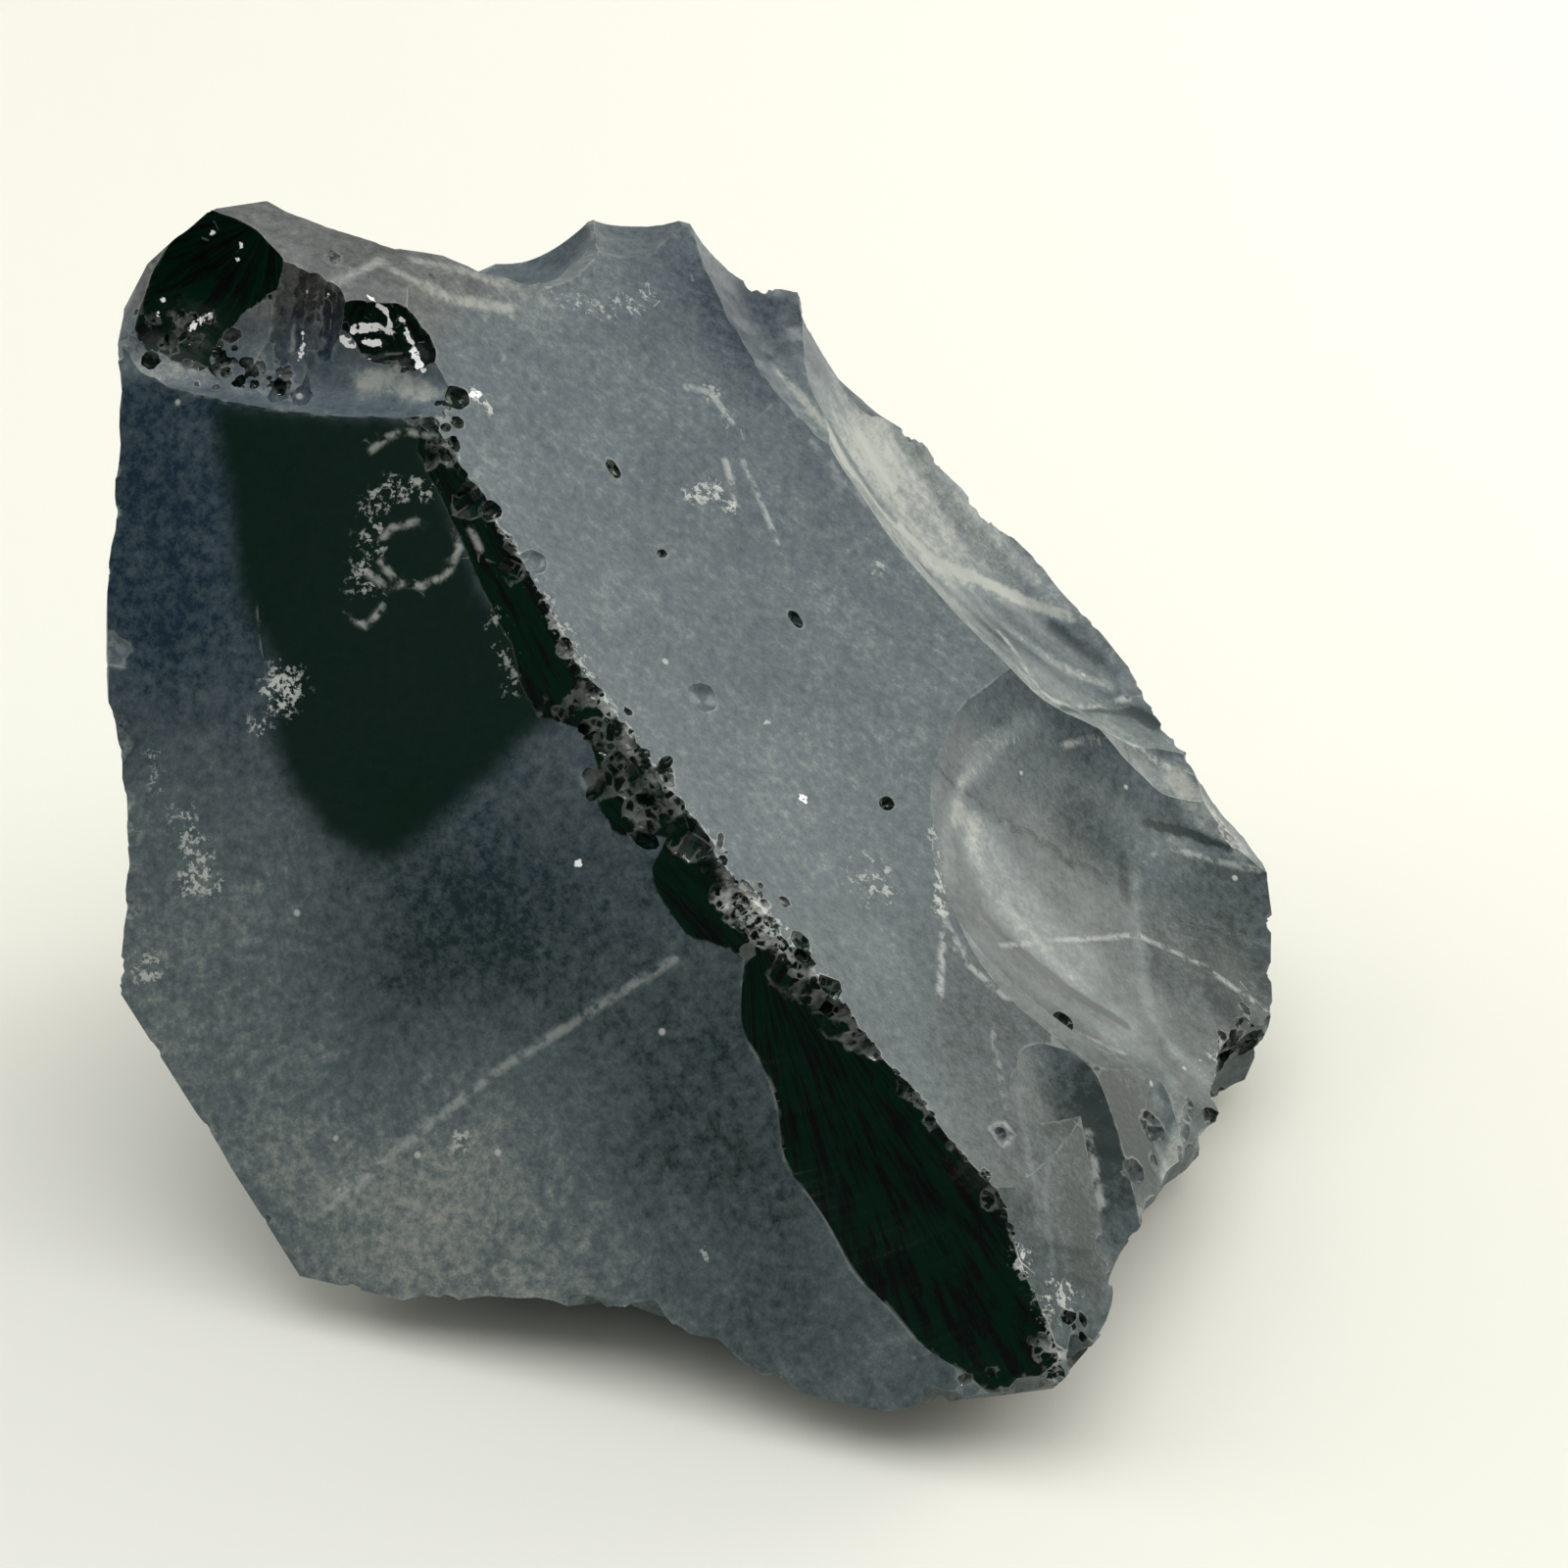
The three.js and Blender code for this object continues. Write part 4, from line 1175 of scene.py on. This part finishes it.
# Painted glints: how ragged their outline is, and where they fade in
GLINT_NOISE, GLINT_SWING = (1600, 3), 3
GLINT_EDGE, GLINT_REACH = (0.5, 0.7), (0.1, 0.3)


def paint_glints(n, place):
    """Painted glints: where light caught on ragged splinters is painted near-white."""
    painted_glint = n.attribute("painted_glint")
    ragged = n.swing(n.noise(place, *GLINT_NOISE), GLINT_SWING)
    shape = n.ramp(n.add_up(painted_glint, ragged), *GLINT_EDGE)
    return n.times(shape, n.ramp(painted_glint, *GLINT_REACH))


# Noise in the relief, and how high it stands
HACKLES, HACKLE_HEIGHT = (0.12, 1.1, 3), 0.35
RIPPLES, FROSTED_RIPPLE, FRESH_RIPPLE = (0.55, 0.05, 2), 0.15, 0.75
PITTING, PITTING_HEIGHT = (1500, 4, 0.7), 0.12
FLAKE_HEIGHT = 0.5


def glass_relief(n, place, fresh, white):
    """Ripples and hackles round the blow of each break, grain, and crushed flakes."""
    hackles, ripples = n.shell_noise(*HACKLES), n.shell_noise(*RIPPLES)
    swell = n.math("MULTIPLY_ADD", hackles, HACKLE_HEIGHT, ripples)
    swell = n.times(swell, n.move(fresh, FROSTED_RIPPLE, FRESH_RIPPLE))
    height = n.math("MULTIPLY_ADD", n.noise(place, *PITTING), PITTING_HEIGHT, swell)
    return n.math("MULTIPLY_ADD", white, FLAKE_HEIGHT, height)


def glass_roughness(n, patch, fresh, white):
    """Rough where it is crushed, and smooth on the dark patch and on fresh glass."""
    patched = n.move(patch, FROSTED_ROUGHNESS, PATCH_ROUGHNESS)
    broken = n.move(fresh, FROSTED_ROUGHNESS, FRESH_ROUGHNESS)
    return n.most(n.math("MINIMUM", patched, broken), n.times(white, CRUSHED_ROUGHNESS))


def glass_specular(n, height, patch, fresh):
    """Low on the dark glass, so that it stays black, and on the warm top of the stone."""
    level = n.move(n.ramp(height, *WARM_HEIGHTS), FROSTED_SPECULAR, WARM_SPECULAR)
    dark = n.most(fresh, n.times(patch, PATCH_SHINE))
    return n.move(dark, FROSTED_SPECULAR, FRESH_SPECULAR, base=level)


def obsidian_glass():
    """Volcanic glass: frosted grey where it has weathered and black where it is fresh."""
    n = Nodes(bpy.data.materials.new("obsidian glass"))
    place = n.add("ShaderNodeTexCoord").outputs["Object"]
    height = n.add("ShaderNodeSeparateXYZ", {0: place}).outputs["Z"]
    wobble = n.swing(n.noise(place, *WOBBLE), WOBBLE_SWING)
    fresh = n.ramp(n.add_up(n.attribute("fresh"), wobble), *FRESH_FADE)
    patch = n.math("MULTIPLY_ADD", wobble, PATCH_WOBBLE, n.attribute("patch"))
    patch = n.times(n.ramp(patch, *PATCH_FADE), PATCH_STRENGTH)
    white = crushed_glass(n, place)
    colour = glass_colour(n, place, height, patch, fresh, white)
    relief = glass_relief(n, place, fresh, white)
    bump = n.add("ShaderNodeBump", {"Strength": BUMP_STRENGTH, "Distance": BUMP_HEIGHT,
                                    "Height": relief})
    return n.finish("Principled BSDF", {
        # Painted glints are laid over the colour here
        "Base Color": n.blend(paint_glints(n, place), colour, GLINT_WHITE),
        "Roughness": glass_roughness(n, patch, fresh, white),
        "Specular IOR Level": glass_specular(n, height, patch, fresh),
        "IOR": GLASS_IOR,
        "Normal": bump.outputs["Normal"],
    })


PAPER_COLOUR = (0.8, 0.785, 0.7, 1)
PAPER_ROUGHNESS, PAPER_SPECULAR = 0.9, 0.2


def plain_paper():
    n = Nodes(bpy.data.materials.new("pale paper"))
    return n.finish("Principled BSDF", {"Base Color": PAPER_COLOUR, "Roughness": PAPER_ROUGHNESS,
                                        "Specular IOR Level": PAPER_SPECULAR})


# ---------------------------------------------------------------- the scene

def add_stone():
    mesh, breaks = shape_stone()
    paint(mesh, breaks)
    mesh.transform(Matrix.Scale(MM, 4) @ Matrix.Translation(-FOOTPRINT_CENTRE))
    mesh.materials.clear()
    mesh.materials.append(obsidian_glass())
    stone = add_object("rough_obsidian", mesh)
    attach(stone, "root")
    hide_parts("obsidian")


PAPER_HALF_WIDTH, PAPER_FRONT, PAPER_TOP = 1.2, -1.2, 0.9
BEND_START, BEND_RADIUS, BEND_STEPS = 0.34, 0.6, 12


def add_floor():
    """A sheet of pale paper that lies flat and sweeps up behind the stone."""
    profile = [(PAPER_FRONT, 0.0), (BEND_START, 0.0)]
    for step in range(1, BEND_STEPS + 1):
        angle = math.radians(90) * step / BEND_STEPS
        profile.append((BEND_START + BEND_RADIUS * math.sin(angle),
                        BEND_RADIUS * (1 - math.cos(angle))))
    profile.append((BEND_START + BEND_RADIUS, PAPER_TOP))
    points = [(x, y, z) for y, z in profile for x in (-PAPER_HALF_WIDTH, PAPER_HALF_WIDTH)]
    faces = [(2 * i, 2 * i + 1, 2 * i + 3, 2 * i + 2) for i in range(len(profile) - 1)]
    mesh = bpy.data.meshes.new("paper sheet")
    mesh.from_pydata(points, [], faces)
    for face in mesh.polygons:
        face.use_smooth = True
    mesh.materials.append(plain_paper())
    add_object("paper_sheet", mesh)


STONE_MIDDLE = Vector((0, 0, 0.04))


def add_lamp(name, place, size, watts, colour=(1, 1, 1), mirrored=True, lights=True):
    """A lamp aimed at the stone. mirrored: the glass reflects it. lights: it lights surfaces."""
    data = bpy.data.lights.new(name, "AREA")
    data.shape = "RECTANGLE"
    data.size, data.size_y = size
    data.energy = watts
    data.color = colour
    lamp = add_object(name, data)
    lamp.location = place
    lamp.rotation_euler = (STONE_MIDDLE - Vector(place)).to_track_quat("-Z", "Y").to_euler()
    lamp.visible_glossy = mirrored
    lamp.visible_diffuse = lights


ROOM_COLOUR = (0.93, 0.97, 1, 1)
BRIGHT_DIRECTION = (0.1, 0.5, 0.86)
DARK_SIDE, BRIGHT_SIDE = 0.14, 0.6


def room():
    """A room that is dark low down behind the camera, and bright above."""
    n = Nodes(bpy.data.worlds.new("room"))
    direction = n.add("ShaderNodeTexCoord").outputs["Generated"]
    height = n.add("ShaderNodeVectorMath", {0: direction, 1: BRIGHT_DIRECTION},
                   operation="DOT_PRODUCT").outputs["Value"]
    inputs = {"Value": height, "From Min": 0, "To Min": DARK_SIDE, "To Max": BRIGHT_SIDE}
    strength = n.add("ShaderNodeMapRange", inputs, interpolation_type="SMOOTHSTEP")
    return n.finish("Background", {"Color": ROOM_COLOUR, "Strength": strength.outputs["Result"]})


# The dull fills all round the stone: the place of each, and its watts
FILLS = {
    "front fill": ((-0.2, -1.1, 0.9), 1),
    "left fill": ((-1.2, 0.2, 0.8), 6.2),
    "right fill": ((1.1, 0.2, 0.8), 4.4),
}


def add_light():
    """A soft box overhead, dull fills all round, a low window behind to the right, and a small
    bulb that only shows as glints in the glass."""
    add_lamp("overhead", (0, -0.02, 1.2), size=(1.3, 1.3), watts=7.4, colour=(0.97, 0.99, 1))
    add_lamp("window", (0.7, 0.42, 0.25), size=(0.5, 0.4), watts=4, colour=(1, 0.97, 0.9))
    for name, (place, watts) in FILLS.items():
        add_lamp(name, place, size=(1, 1), watts=watts, mirrored=False)
    add_lamp("bulb", (0.22, 0.2, 0.9), size=(0.12, 0.12), watts=5, lights=False)
    bpy.context.scene.world = room()


CAMERA_TARGET = Vector((0.0072, -0.0082, 0.046))
CAMERA_ELEVATION = math.radians(32)
CAMERA_DISTANCE = 0.345
VIEW_ANGLE = math.radians(24)


def add_camera():
    data = bpy.data.cameras.new("camera")
    data.angle = VIEW_ANGLE
    camera = add_object("camera", data)
    back = Vector((0, -math.cos(CAMERA_ELEVATION), math.sin(CAMERA_ELEVATION)))
    camera.location = CAMERA_TARGET + back * CAMERA_DISTANCE
    camera.rotation_euler = (math.pi / 2 - CAMERA_ELEVATION, 0, 0)
    bpy.context.scene.camera = camera


bpy.context.scene.view_settings.view_transform = "Standard"
add_stone()
add_floor()
add_light()
add_camera()
